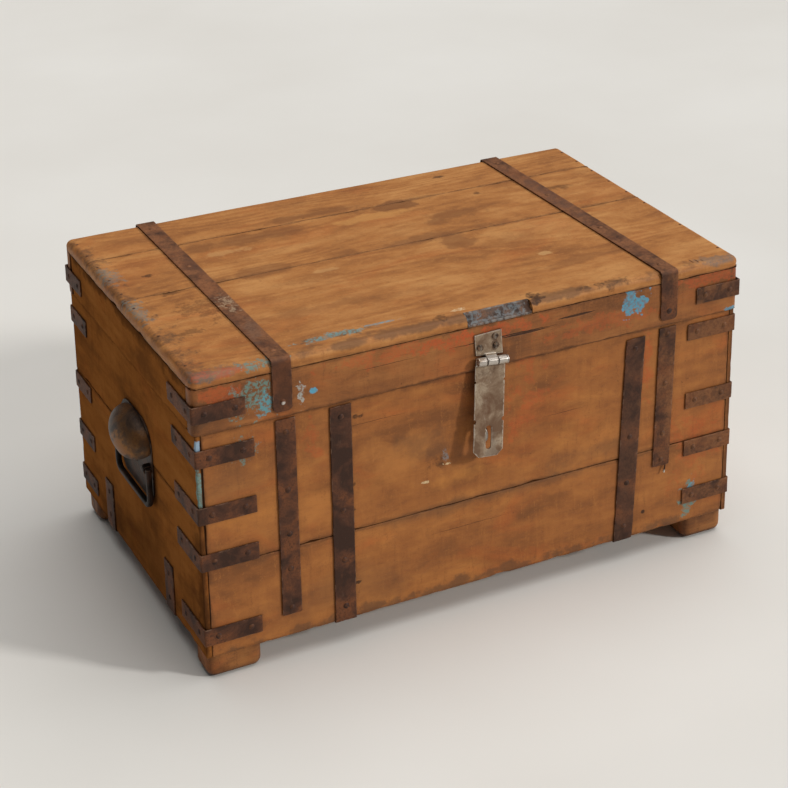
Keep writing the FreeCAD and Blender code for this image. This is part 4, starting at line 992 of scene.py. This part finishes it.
@dataclass
class Straps:
    """The iron straps, corner straps and hinge leaves."""

    cell: float = 7 * MM
    rounding: float = 0.5 * MM
    dents: float = 0.9 * MM
    ripple: float = 0.3 * MM
    pin_ripple: float = 0.05 * MM
    seed: float = 211.0
    seed_step: float = 3.7

    def build(self, looks: "Looks") -> List[Piece]:
        """Builds each strap.

        Args:
            looks: the finishes.

        Returns:
            The pieces.
        """
        pieces = []
        seed = self.seed
        for node in sorted(frame["nodes"]):
            if ("strap" in node and "nails" not in node) or node.endswith("hinge_leaf"):
                seed += self.seed_step
                bm = iron(node, self.cell, self.rounding, self.dents, self.ripple, seed)
                pieces.append(worn(node, looks.strap, bm))
        for node in ("left_hinge_pin", "right_hinge_pin"):
            bm = iron(node, self.cell, 0.0, 0.0, self.pin_ripple, seed)
            pieces.append(worn(node, looks.strap, bm))
        return pieces


@dataclass
class Hasp:
    """The hasp's two leaves, its pin and screws, and the staple."""

    cell: float = 3 * MM
    rounding: float = 0.45 * MM
    dents: float = 0.5 * MM
    ripple: float = 0.15 * MM
    seed: float = 17.0

    def build(self, looks: "Looks") -> List[Piece]:
        """Builds the pieces of the hasp.

        Args:
            looks: the finishes.

        Returns:
            The pieces.
        """
        pieces = []
        for node, rounding, finish in (
                ("hasp_leaf", self.rounding, looks.hasp), ("hasp_fixed_leaf", self.rounding, looks.hasp),
                ("hasp_pin", 0.0, looks.bright), ("staple", 0.0, looks.bright),
                ("hasp_screws", 0.0, looks.screw)):
            bm = iron(node, self.cell, rounding, self.dents, self.ripple, self.seed)
            pieces.append(worn(node, finish, bm))
        return pieces


@dataclass
class Handles:
    """The domed drop handles of both ends."""

    cell: float = 4 * MM
    plate_rounding: float = 0.4 * MM
    dents: float = 0.6 * MM
    ripple: float = 0.25 * MM
    seed: float = 31.0

    def build(self, looks: "Looks") -> List[Piece]:
        """Builds plate, bail and cup of each end.

        Args:
            looks: the finishes.

        Returns:
            The pieces.
        """
        pieces = []
        for end in ("left", "right"):
            for part in ("plate", "bail", "hood"):
                node = f"{end}_handle_{part}"
                rounding = self.plate_rounding if part == "plate" else 0.0
                finish = looks.cup if part == "hood" else looks.handle
                bm = iron(node, self.cell, rounding, self.dents, self.ripple, self.seed)
                pieces.append(worn(node, finish, bm))
        return pieces


@dataclass
class Nails:
    """All nails: hand-made heads, uneven from the hammer."""

    ripple: float = 0.35 * MM
    bent_length: float = 11 * MM
    bent_width: float = 3 * MM
    bent_aside: float = 4 * MM
    bent_gap: float = 1 * MM
    bent_lean: float = math.radians(18)
    bent_out: float = math.radians(-10)
    edge_share: float = 0.2
    seed: float = 5.0

    def build(self, looks: "Looks") -> List[Piece]:
        """Builds each group of nails.

        Args:
            looks: the finishes.

        Returns:
            The pieces.
        """
        pieces = []
        for node in ("body_strap_nails", "lid_strap_nails", "handle_nails", "lid_plank_nails"):
            bm = bmesh.new()
            bm.from_mesh(frame["nodes"][node].data)
            bmesh.ops.remove_doubles(bm, verts=bm.verts, dist=WELD)
            edge = bm.verts.layers.float.new("edge")
            if node == "body_strap_nails":
                self.bent_nail(bm)
            for vert in bm.verts:
                vert[edge] = self.edge_share
            wear_down(bm, 0.0, self.ripple, NAIL_DENT_RATE, self.seed)
            pieces.append(worn(node, looks.nail, bm))
        return pieces

    def bent_nail(self, bm: Grid) -> None:
        """Adds the nail that hangs out bent below the right narrow strap."""
        low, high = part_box("front_right_narrow_strap")
        middle = (low.x + high.x) / 2
        foot = Vector((middle + self.bent_aside, low.y - self.bent_gap, low.z + self.bent_gap))
        turn = Matrix.Rotation(self.bent_lean, 4, "Y") @ Matrix.Rotation(self.bent_out, 4, "X")
        made = bmesh.ops.create_cone(bm, cap_ends=True, segments=8, radius1=0.5 * self.bent_width,
                                     radius2=0.3 * self.bent_width, depth=self.bent_length)
        bmesh.ops.translate(bm, vec=(0, 0, -self.bent_length / 2), verts=made["verts"])
        bmesh.ops.transform(bm, matrix=Matrix.Translation(foot) @ turn, verts=made["verts"])


# What each surface looks like

# Millimetres: the planes that the patches lie on
LID_FRONT_Y = -233.3
BODY_FRONT_Y = -230.3
LID_TOP_Z = 411.0
PATCH_REACH = 8.0

BLUE = paint(92, 150, 172)
TEAL = paint(106, 134, 124)
MILKY = paint(176, 184, 178)
# Dark brown of soot marks, specks and seams, also used for painted shade on the feet and the left end
SOOT_AND_SHADE = paint(62, 38, 22)
WATER = paint(122, 76, 42)
ORANGE = paint(186, 84, 42)
GREASE = paint(98, 68, 46)
ASHEN = paint(116, 120, 112)
FRESH = paint(200, 150, 94)
BARE = paint(222, 196, 150)


def on_front(*rows: Sequence) -> Tuple[Patch, ...]:
    """Patches on the front.

    Args:
        rows: for each patch its middle's x and distance below the lid's top, its half width and height, its
            colour, and then its strength, tear, tear_scale, soft and flake as far as they are given.

    Returns:
        The patches.
    """
    return tuple(Patch((x, LID_FRONT_Y, LID_TOP_Z - down), (wide, PATCH_REACH, high), colour, *more)
                 for x, down, wide, high, colour, *more in rows)


def on_top(*rows: Sequence) -> Tuple[Patch, ...]:
    """Patches on the top, by rows like on_front's, with the distance behind the front and the half depth."""
    return tuple(Patch((x, LID_FRONT_Y + back, LID_TOP_Z), (wide, deep, PATCH_REACH), colour, *more)
                 for x, back, wide, deep, colour, *more in rows)


TOP_PATCHES = on_top(
    (-60, 398, 110, 13, WATER, 0.62, 0.6, 16, 0.6),
    (52, 376, 62, 20, WATER, 0.75, 0.7, 22, 0.5),
    (10, 352, 64, 16, paint(196, 138, 76), 0.75, 0.6, 20, 0.5),
    (-170, 362, 110, 20, WATER, 0.6, 0.7, 16, 0.6),
    (118, 306, 56, 28, WATER, 0.6, 0.7, 20, 0.5),
    (40, 250, 130, 18, WATER, 0.6, 0.7, 14, 0.6),
    (80, 222, 30, 26, WATER, 0.55, 0.7, 22, 0.5),
    (-190, 250, 110, 20, WATER, 0.5, 0.8, 16, 0.6),
    (-140, 110, 120, 24, WATER, 0.35, 0.8, 18, 0.7),
    (200, 90, 110, 14, WATER, 0.4, 0.8, 20, 0.7),
    (167, 445, 14, 5, SOOT_AND_SHADE, 0.75, 0.8, 60, 0.6),
    (300, 330, 30, 14, SOOT_AND_SHADE, 0.5, 0.9, 40, 0.7),
    (182, 362, 8, 6, SOOT_AND_SHADE, 0.6, 0.5, 90, 0.5),
    (-323, 305, 8, 6, SOOT_AND_SHADE, 0.7, 0.6, 90, 0.5),
    (-318, 240, 12, 7, SOOT_AND_SHADE, 0.5, 0.9, 90, 0.5),
    (-340, 120, 24, 10, SOOT_AND_SHADE, 0.45, 0.9, 90, 0.6),
    (-300, 180, 30, 40, SOOT_AND_SHADE, 0.4, 1.1, 60, 0.5, 0.6),
    (-376, 320, 24, 170, GREASE, 0.7, 1.1, 50, 0.8, 0.4),
    (-372, 60, 26, 130, GREASE, 0.7, 1.1, 50, 0.8, 0.4),
    (-372, 210, 14, 40, ASHEN, 0.7, 1.0, 80, 0.3, 0.7),
    (-366, 330, 16, 30, ASHEN, 0.6, 1.0, 80, 0.3, 0.7),
    (0, 3, 400, 17, GREASE, 0.65, 0.8, 30, 0.7),
    (190, 8, 24, 12, SOOT_AND_SHADE, 0.6, 0.9, 70, 0.5, 0.5),
    (150, 10, 14, 8, SOOT_AND_SHADE, 0.5, 0.9, 70, 0.5, 0.5),
    (80, 14, 13, 18, SOOT_AND_SHADE, 0.9, 0.7, 80, 0.4, 0.3),
    (-50, 16, 12, 10, SOOT_AND_SHADE, 0.6, 0.9, 80, 0.5, 0.4),
    (350, 6, 40, 16, paint(112, 100, 90), 0.7, 0.8, 40, 0.6, 0.4),
    (-350, 0, 50, 20, paint(112, 98, 88), 0.75, 0.9, 50, 0.6, 0.4),
    (-345, 2, 36, 14, ORANGE, 0.5, 0.9, 60, 0.4, 0.7),
    (-292, 0, 34, 16, TEAL, 0.8, 1.1, 90, 0.3, 0.9),
    (-181, 33, 50, 9, paint(66, 70, 64), 0.8, 0.8, 70, 0.5, 0.4),
    (-181, 33, 48, 8, paint(120, 146, 142), 0.85, 0.9, 80, 0.3, 0.85),
    (-124, 37, 24, 3, paint(110, 152, 164), 0.8, 0.6, 110, 0.3, 0.6),
    (-20, 26, 10, 3, paint(224, 200, 160), 0.8, 1.0, 190, 0.15, 0.8),
    (315, 16, 1.4, 8, SOOT_AND_SHADE, 0.8, 0.2, 90, 0.5),
    (322, 14, 1.4, 7, SOOT_AND_SHADE, 0.8, 0.2, 90, 0.5),
    (329, 12, 1.2, 6, SOOT_AND_SHADE, 0.7, 0.2, 90, 0.5),
    (160, 130, 12, 6, paint(206, 160, 104), 0.6, 0.8, 60, 0.5),
    (-110, 215, 26, 7, FRESH, 0.5, 0.8, 60, 0.6),
    (-210, 330, 40, 9, FRESH, 0.5, 0.8, 50, 0.6),
)

RAIL_PATCHES = on_front(
    (-120, 24, 90, 12, ORANGE, 0.4, 1.1, 60, 0.5, 0.6),
    (-40, 28, 60, 12, ORANGE, 0.55, 1.2, 60, 0.4, 0.7),
    (30, 26, 60, 10, ORANGE, 0.6, 1.2, 60, 0.4, 0.7),
    (-345, 26, 36, 12, ORANGE, 0.5, 1.1, 60, 0.4, 0.5),
    (330, 22, 60, 10, ORANGE, 0.5, 1.2, 60, 0.4, 0.6),
    (180, 50, 80, 12, ORANGE, 0.35, 1.2, 60, 0.4, 0.6),
    (-302, 42, 26, 28, TEAL, 0.9, 1.2, 80, 0.25, 0.95),
    (-290, 52, 10, 14, paint(96, 150, 158), 0.95, 1.0, 100, 0.25, 0.8),
    (-243, 50, 5, 16, MILKY, 0.7, 1.1, 120, 0.3, 0.9),
    (-228, 50, 6, 5, paint(92, 160, 184), 1.0, 0.3, 120, 0.3, 0.15),
    (220, 32, 17, 17, BLUE, 1.0, 1.1, 60, 0.12, 0.55),
    (370, 73, 11, 4, BLUE, 0.9, 0.6, 100, 0.2, 0.4),
    (-366, 46, 14, 36, GREASE, 0.6, 0.8, 40, 0.5),
    (140, 22, 60, 8, SOOT_AND_SHADE, 0.35, 1.0, 50, 0.6, 0.5),
    (0, 76, 400, 5, SOOT_AND_SHADE, 0.5, 0.5, 40, 0.7),
)

RAIL_CRACKS = (
    Crack((30, LID_FRONT_Y, LID_TOP_Z - 37), 160, 1.6),
    Crack((134, LID_FRONT_Y, LID_TOP_Z - 31), 56, 3.4),
    Crack((60, LID_FRONT_Y, LID_TOP_Z - 39), 70, 3.0, 3.0),
    Crack((-130, LID_FRONT_Y, LID_TOP_Z - 38), 90, 0.6),
)

FRONT_PATCHES = on_front(
    (-330, 130, 64, 62, GREASE, 0.32, 0.6, 16, 0.8),
    (-228, 122, 26, 50, GREASE, 0.3, 0.6, 18, 0.8),
    (-190, 334, 170, 44, GREASE, 0.36, 0.6, 12, 0.8),
    (-126, 165, 72, 46, paint(194, 128, 66), 0.5, 0.7, 16, 0.8),
    (-228, 216, 28, 34, paint(190, 122, 62), 0.4, 0.7, 18, 0.8),
    (0, 258, 420, 12, GREASE, 0.5, 0.6, 16, 0.8),
    (170, 236, 120, 22, GREASE, 0.45, 0.8, 14, 0.7),
    (-80, 160, 60, 30, GREASE, 0.45, 0.9, 18, 0.7),
    (60, 120, 30, 60, ORANGE, 0.4, 1.1, 34, 0.5, 0.6),
    (240, 120, 12, 70, ORANGE, 0.5, 1.0, 40, 0.5, 0.5),
    (-232, 120, 16, 30, ORANGE, 0.4, 1.0, 40, 0.5, 0.5),
    (320, 270, 50, 60, ORANGE, 0.35, 1.0, 30, 0.6, 0.6),
    (0, 214, 130, 22, paint(196, 130, 62), 0.55, 0.8, 14, 0.8),
    (-320, 190, 60, 30, paint(190, 122, 56), 0.4, 0.8, 20, 0.7),
    (314, 344, 13, 28, TEAL, 0.95, 1.0, 80, 0.25, 0.6),
    (319, 326, 6, 10, paint(96, 156, 170), 0.9, 1.0, 110, 0.25, 0.5),
    (-318, 108, 14, 16, TEAL, 0.7, 1.3, 110, 0.2, 0.95),
    (-62, 190, 18, 14, SOOT_AND_SHADE, 0.75, 0.6, 40, 0.5),
    (-52, 182, 5, 10, paint(120, 130, 132), 0.6, 0.9, 90, 0.3, 0.8),
    (243, 345, 4, 4, SOOT_AND_SHADE, 0.95, 0.2, 90, 0.4),
    (-168, 100, 8, 4, SOOT_AND_SHADE, 0.8, 0.6, 90, 0.4),
    (-178, 190, 8, 4, SOOT_AND_SHADE, 0.7, 0.6, 90, 0.4),
    (-180, 226, 8, 4, SOOT_AND_SHADE, 0.7, 0.6, 90, 0.4),
    (-176, 330, 9, 3, SOOT_AND_SHADE, 0.85, 0.6, 120, 0.4),
    (-80, 214, 7, 2, BARE, 0.8, 0.8, 160, 0.15, 0.3),
    (-50, 196, 5, 2, BARE, 0.8, 0.8, 160, 0.15, 0.3),
    (0, 372, 420, 10, GREASE, 0.65, 0.9, 30, 0.6),
    (-370, 150, 2, 80, SOOT_AND_SHADE, 1.0, 0.1, 60, 0.3),
    (-370, 310, 2, 60, SOOT_AND_SHADE, 1.0, 0.1, 60, 0.3),
)

FRONT_CRACKS = (
    Crack((-150, BODY_FRONT_Y, 300), 90, 0.5),
    Crack((120, BODY_FRONT_Y, 246), 60, 0.5),
    Crack((-20, BODY_FRONT_Y, 120), 120, 0.5),
)

END_PATCHES = (
    Patch((-378, -231, 200), (12, 6, 210), paint(92, 56, 34), 0.45, 0.5, 40, 0.6),
    Patch((-377, -230, 318), (9, 5, 14), paint(150, 176, 196), 0.9, 0.5, 70, 0.3),
    Patch((-377, -230, 262), (9, 5, 36), paint(120, 152, 146), 0.9, 0.7, 70, 0.3, 0.4),
    Patch((-370.6, -230, 250), (1.4, 6, 100), SOOT_AND_SHADE, 1.0, 0.1, 90, 0.3),
    # Painted shade: the left end darkens towards its bottom
    Patch((-377, 0, 70), (12, 300, 70), SOOT_AND_SHADE, 0.42, 0.5, 10, 0.8),
    Patch((-377, -235, 130), (12, 44, 100), SOOT_AND_SHADE, 0.6, 0.7, 20, 0.8),
    Patch((-380, 0, 396), (12, 300, 16), SOOT_AND_SHADE, 0.6, 0.7, 30, 0.7),
    Patch((-377, 20, 215), (12, 80, 70), SOOT_AND_SHADE, 0.4, 0.5, 14, 0.9),
)

RIGHT_END_PATCHES = (
    Patch((378, -231, 200), (12, 6, 210), paint(104, 65, 38), 0.65, 0.5, 40, 0.6),
    Patch((377, 0, 50), (12, 300, 40), GREASE, 0.5, 0.6, 14, 0.8),
    Patch((380, 0, 396), (12, 300, 14), SOOT_AND_SHADE, 0.45, 0.7, 30, 0.7),
    Patch((377, -20, 270), (12, 90, 40), GREASE, 0.4, 0.6, 18, 0.8),
    Patch((377, 10, 190), (12, 80, 40), SOOT_AND_SHADE, 0.45, 0.6, 18, 0.9),
)

FOOT_SHADE_PATCHES = (
    # Painted shade: a dark band along the top of each foot under the body, and one along its bottom at the
    # floor
    Patch((0, 0, 31), (500, 500, 5), SOOT_AND_SHADE, 0.6, 0.5, 40, 0.6),
    Patch((0, 0, 0), (500, 500, 5), SOOT_AND_SHADE, 0.5, 0.5, 40, 0.6),
)

DUST = (
    Patch((0, 0, 416), (900, 900, 9), paint(150, 98, 62), 0.75, 0.5, 34, 0.8, 0.4),
    Patch((-268, -238, 384), (20, 14, 36), paint(110, 64, 36), 0.5, 0.6, 50, 0.6, 0.3),
    Patch((340, -238, 220), (104, 60, 260), paint(140, 92, 56), 0.62, 0.7, 46, 0.8, 0.5),
    Patch((218, -238, 180), (30, 60, 170), paint(104, 68, 46), 0.45, 0.8, 46, 0.7, 0.5),
)

STRAP_PATCHES = (
    Patch((-266, -60, 416), (12, 26, 8), paint(176, 150, 120), 0.6, 1.1, 130, 0.3, 0.9),
    Patch((-262, 60, 416), (16, 60, 8), paint(84, 56, 42), 0.6, 0.9, 40, 0.7, 0.3),
    Patch((-266, -150, 416), (16, 50, 8), paint(120, 92, 74), 0.5, 0.9, 50, 0.7, 0.5),
    Patch((270, 80, 416), (18, 90, 8), paint(92, 66, 54), 0.55, 0.9, 40, 0.7, 0.3),
)

NAIL_PATCHES = (
    Patch((-267, -236, 355), (3.4, 10, 3.4), paint(206, 198, 188), 0.85, 0.2, 90, 0.7),
    Patch((270, -236, 115), (12, 14, 11), paint(206, 192, 172), 0.9, 0.1, 90, 0.3),
)

CUP_RUST_AND_REFLECTION = (
    # Painted reflection with rust: the cup's lower part golden, as the bright floor reflected in its worn
    # iron, and its upper part darker
    Patch((-402, -30, 236), (26, 30, 16), paint(150, 98, 44), 0.8, 0.8, 50, 0.6),
    Patch((-402, 14, 262), (26, 26, 14), paint(56, 42, 34), 0.7, 0.6, 50, 0.6),
)

INLAY_PATCHES = (
    Patch((-10, -226, 405), (14, 8, 9), paint(112, 118, 120), 0.7, 1.2, 110, 0.3, 1.0),
    Patch((46, -224, 407), (22, 7, 6), paint(108, 114, 116), 0.65, 1.2, 110, 0.3, 1.0),
    Patch((24, -230, 400), (40, 4, 4), paint(118, 120, 120), 0.7, 1.2, 110, 0.3, 0.9),
    Patch((66, -228, 404), (10, 14, 14), SOOT_AND_SHADE, 0.85, 0.7, 90, 0.4),
)

HASP_PATCHES = (
    Patch((-1, -250, 296), (10, 20, 44), paint(104, 74, 54), 0.75, 0.7, 60, 0.8, 0.3),
    Patch((4, -250, 334), (18, 20, 11), paint(84, 60, 46), 0.7, 0.8, 60, 0.7, 0.3),
    Patch((2, -250, 252), (7, 20, 26), paint(98, 74, 58), 0.55, 0.8, 70, 0.7, 0.3),
    Patch((0, -250, 236), (16, 20, 16), paint(150, 138, 122), 0.4, 1.0, 50, 0.6),
    Patch((8, -241, 349), (40, 8, 7.5), paint(186, 178, 168), 0.85, 0.15, 80, rough=-0.2),
    Patch((0, -246, 349), (1.6, 9, 9), SOOT_AND_SHADE, 0.85, 0.1, 80, 0.4),
    Patch((15.5, -246, 349), (1.6, 9, 9), SOOT_AND_SHADE, 0.7, 0.1, 80, 0.4),
    Patch((-7, -240, 366), (7, 8, 7), paint(66, 54, 48), 0.85, 0.6, 90, 0.4),
    Patch((15, -240, 368), (7, 8, 12), paint(86, 62, 46), 0.75, 0.6, 90, 0.4),
)


def tones(*shades: Triple) -> Tuple[Colour, ...]:
    """Several colours, each given as paint takes it."""
    return tuple(paint(*shade) for shade in shades)


class Looks:
    """The finishes of this trunk. Tones run from pale to dark in wood, and from base to rubbed in iron."""

    def __init__(self) -> None:
        """Sets every finish."""
        ember = paint(184, 96, 44)
        self.top = WoodFinish(
            "lid_top_wood", *tones((194, 136, 78), (174, 114, 60), (146, 92, 48), (118, 74, 42)), ember,
            seed=3.0, heart=0.06, streak=0.42, ring=0.12, warmth=0.3, stain_share=0.35, patches=TOP_PATCHES)
        self.rail = WoodFinish(
            "lid_rail_wood", *tones((164, 106, 57), (144, 89, 47), (114, 71, 40), (92, 59, 36)), ember,
            seed=6.1, heart=0.09, warmth=0.5, stain_share=0.4, patches=RAIL_PATCHES, cracks=RAIL_CRACKS)
        self.front = WoodFinish(
            "front_board_wood", *tones((176, 113, 57), (154, 95, 48), (124, 76, 40), (100, 63, 36)), ember,
            seed=9.7, heart=0.045, streak=0.25, ring=0.08, warmth=0.5, stain_share=0.35,
            patches=FRONT_PATCHES, cracks=FRONT_CRACKS)
        # Painted shade: the left end and the left lid rail get darker colours than the right end, for the
        # shade on that side
        self.end = WoodFinish(
            "end_board_wood",
            *tones((160, 102, 51), (145, 90, 43), (118, 73, 37), (88, 55, 30), (158, 86, 42)),
            grain=Grain.ALONG_Y, seed=14.3, heart=0.07, warmth=0.4, stain_share=0.5, gloss=0.0,
            patches=END_PATCHES)
        self.right_end = replace(
            self.end, name="right_end_wood", pale=paint(168, 112, 62), middle=paint(146, 93, 50),
            dark=paint(118, 74, 41), stain=paint(92, 59, 36), ember=paint(168, 90, 46), gloss=0.1,
            patches=RIGHT_END_PATCHES)
        self.foot = WoodFinish(
            "foot_wood", *tones((158, 104, 56), (136, 86, 46), (98, 60, 34), (72, 46, 27)), ember,
            seed=21.0, heart=0.03, streak=0.7, ring=0.3, warmth=0.3, stain_share=0.5, patches=FOOT_SHADE_PATCHES)
        self.inside = WoodFinish(
            "bottom_wood",
            *tones((170, 124, 80), (148, 100, 60), (106, 66, 36), (80, 50, 28), (160, 104, 58)),
            seed=25.0, heart=0.05, streak=0.7, ring=0.3, warmth=0.2, stain_share=0.4)
        self.strap = IronFinish(
            "strap_rust", *tones((84, 52, 36), (58, 37, 27), (114, 68, 40), (134, 104, 84)), rub=0.18,
            bloom_scale=24, metallic=0.05, rough=0.6, crust=0.6, patches=DUST + STRAP_PATCHES)
        self.nail = IronFinish(
            "nail_rust", *tones((72, 46, 35), (48, 32, 25), (96, 60, 38), (120, 92, 76)), rub=0.2,
            bloom_scale=120, metallic=0.1, rough=0.55, patches=DUST + NAIL_PATCHES)
        self.handle = IronFinish(
            "handle_iron", *tones((50, 36, 28), (28, 21, 18), (76, 48, 32), (100, 80, 66)), rub=0.2,
            metallic=0.3, rough=0.5)
        self.cup = IronFinish(
            "cup_iron", *tones((84, 64, 48), (54, 40, 32), (112, 76, 42), (150, 122, 86)), rub=0.5,
            bloom_scale=26, metallic=0.35, rough=0.42, patches=CUP_RUST_AND_REFLECTION)
        self.inlay = IronFinish(
            "inlay_plate", *tones((94, 76, 66), (58, 45, 39), (112, 80, 60), (150, 146, 140)), rub=0.3,
            bloom_scale=60, metallic=0.0, rough=0.7, crust=0.6, patches=INLAY_PATCHES)
        self.hasp = IronFinish(
            "hasp_steel", *tones((140, 117, 95), (112, 86, 66), (168, 149, 126), (208, 198, 182)), rub=0.5,
            bloom_scale=30, metallic=0.3, rough=0.42, crust=0.45, relief=0.3, patches=HASP_PATCHES)
        self.bright = IronFinish(
            "rubbed_steel", *tones((168, 160, 150), (112, 98, 84), (176, 170, 162), (208, 204, 198)), rub=0.6,
            bloom_scale=60, metallic=0.7, rough=0.34, crust=0.2, relief=0.15)
        self.screw = IronFinish(
            "screw_steel", *tones((106, 86, 70), (62, 48, 40), (120, 90, 66), (168, 156, 142)), rub=0.3,
            bloom_scale=120, metallic=0.4, rough=0.45)


# Studio


@dataclass
class Studio:
    """Camera, lamps, floor and the pale surroundings."""

    lens: float = 93.70
    shift: Tuple[float, float] = (-0.1208, -0.2937)
    eye: Triple = (-1.0722, -2.2522, 1.4679)
    azimuth: float = -28.166
    height: float = 20.592
    roll: float = -0.046
    sensor: float = 36.0
    sight: float = 60.0
    floor_half: float = 9.0
    floor_rough: float = 0.8
    key: Triple = (0.66, -0.62, 0.42)
    key_spread: float = math.radians(7.0)
    key_strength: float = 1.75
    over: Triple = (0.22, 0.05, 0.97)
    over_spread: float = math.radians(70.0)
    over_strength: float = 2.0
    sky: float = 0.13

    def build(self) -> None:
        """Sets everything up."""
        bpy.context.scene.view_settings.view_transform = "Standard"
        self.camera()
        self.lamps()
        self.floor()
        self.surroundings()

    def camera(self) -> None:
        """The camera, at the photograph's place."""
        turn, rise, roll = (math.radians(angle) for angle in (self.azimuth, self.height, self.roll))
        back = Vector((math.sin(turn) * math.cos(rise), -math.cos(turn) * math.cos(rise), math.sin(rise)))
        right = Vector((math.cos(turn), math.sin(turn), 0))
        up = back.cross(right)
        across = right * math.cos(roll) + up * math.sin(roll)
        over = up * math.cos(roll) - right * math.sin(roll)
        data = bpy.data.cameras.new("camera")
        data.lens = self.lens
        data.sensor_width = self.sensor
        data.shift_x, data.shift_y = self.shift
        data.clip_end = self.sight
        made = bpy.data.objects.new("camera", data)
        made.matrix_world = Matrix.Translation(self.eye) @ Matrix((across, over, back)).transposed().to_4x4()
        bpy.context.scene.collection.objects.link(made)
        bpy.context.scene.camera = made

    def lamps(self) -> None:
        """A key lamp at the right that throws the shadows, and a broad soft one overhead."""
        for name, way, spread, strength in (("key", self.key, self.key_spread, self.key_strength),
                                            ("overhead", self.over, self.over_spread, self.over_strength)):
            data = bpy.data.lights.new(name, "SUN")
            data.angle = spread
            data.energy = strength
            made = bpy.data.objects.new(name, data)
            made.matrix_world = Vector(way).to_track_quat("Z", "Y").to_matrix().to_4x4()
            bpy.context.scene.collection.objects.link(made)

    def floor(self) -> None:
        """A plain pale floor."""
        bm = bmesh.new()
        bmesh.ops.create_grid(bm, x_segments=2, y_segments=2, size=self.floor_half)
        mesh = bpy.data.meshes.new("floor")
        bm.to_mesh(mesh)
        bm.free()
        made = bpy.data.objects.new("floor", mesh)
        bpy.context.scene.collection.objects.link(made)
        material, sheet, shader = new_material("pale_floor")
        mottle = sheet.noise(sheet.node("TexCoord").outputs["Object"], 1.3, 4.0, 0.5)
        colour = sheet.ramp(mottle, ((0.3, paint(222, 218, 210)), (0.7, paint(230, 227, 220))))
        sheet.fill(shader, Base_Color=colour, Roughness=self.floor_rough)
        mesh.materials.append(material)

    def surroundings(self) -> None:
        """Pale surroundings that light softly and show whiter to the camera."""
        world = bpy.data.worlds.new("surroundings")
        bpy.context.scene.world = world
        world.use_nodes = True
        sheet = Sheet(world.node_tree)
        light = sheet.fill(world.node_tree.nodes["Background"], Color=paint(246, 246, 250), Strength=self.sky)
        shown = sheet.fill(sheet.node("Background"), Color=paint(232, 230, 225), Strength=1.0)
        both = sheet.node("MixShader")
        seen = sheet.node("LightPath").outputs["Is Camera Ray"]
        for socket, value in zip(both.inputs, (seen, light.outputs[0], shown.outputs[0])):
            sheet.feed(socket, value)
        sheet.fill(world.node_tree.nodes["World Output"], Surface=both.outputs[0])


def main() -> None:
    """Builds the trunk's sub-assemblies in order and the studio round them."""
    logging.basicConfig(level=logging.INFO, format="%(name)s: %(message)s")
    kit = Kit()
    looks = Looks()
    for part in (Carcass(), Lid(), Straps(), Hasp(), Handles(), Nails()):
        for piece in part.build(looks):
            piece.place(kit)
    Studio().build()


if __name__ == "__main__":
    main()
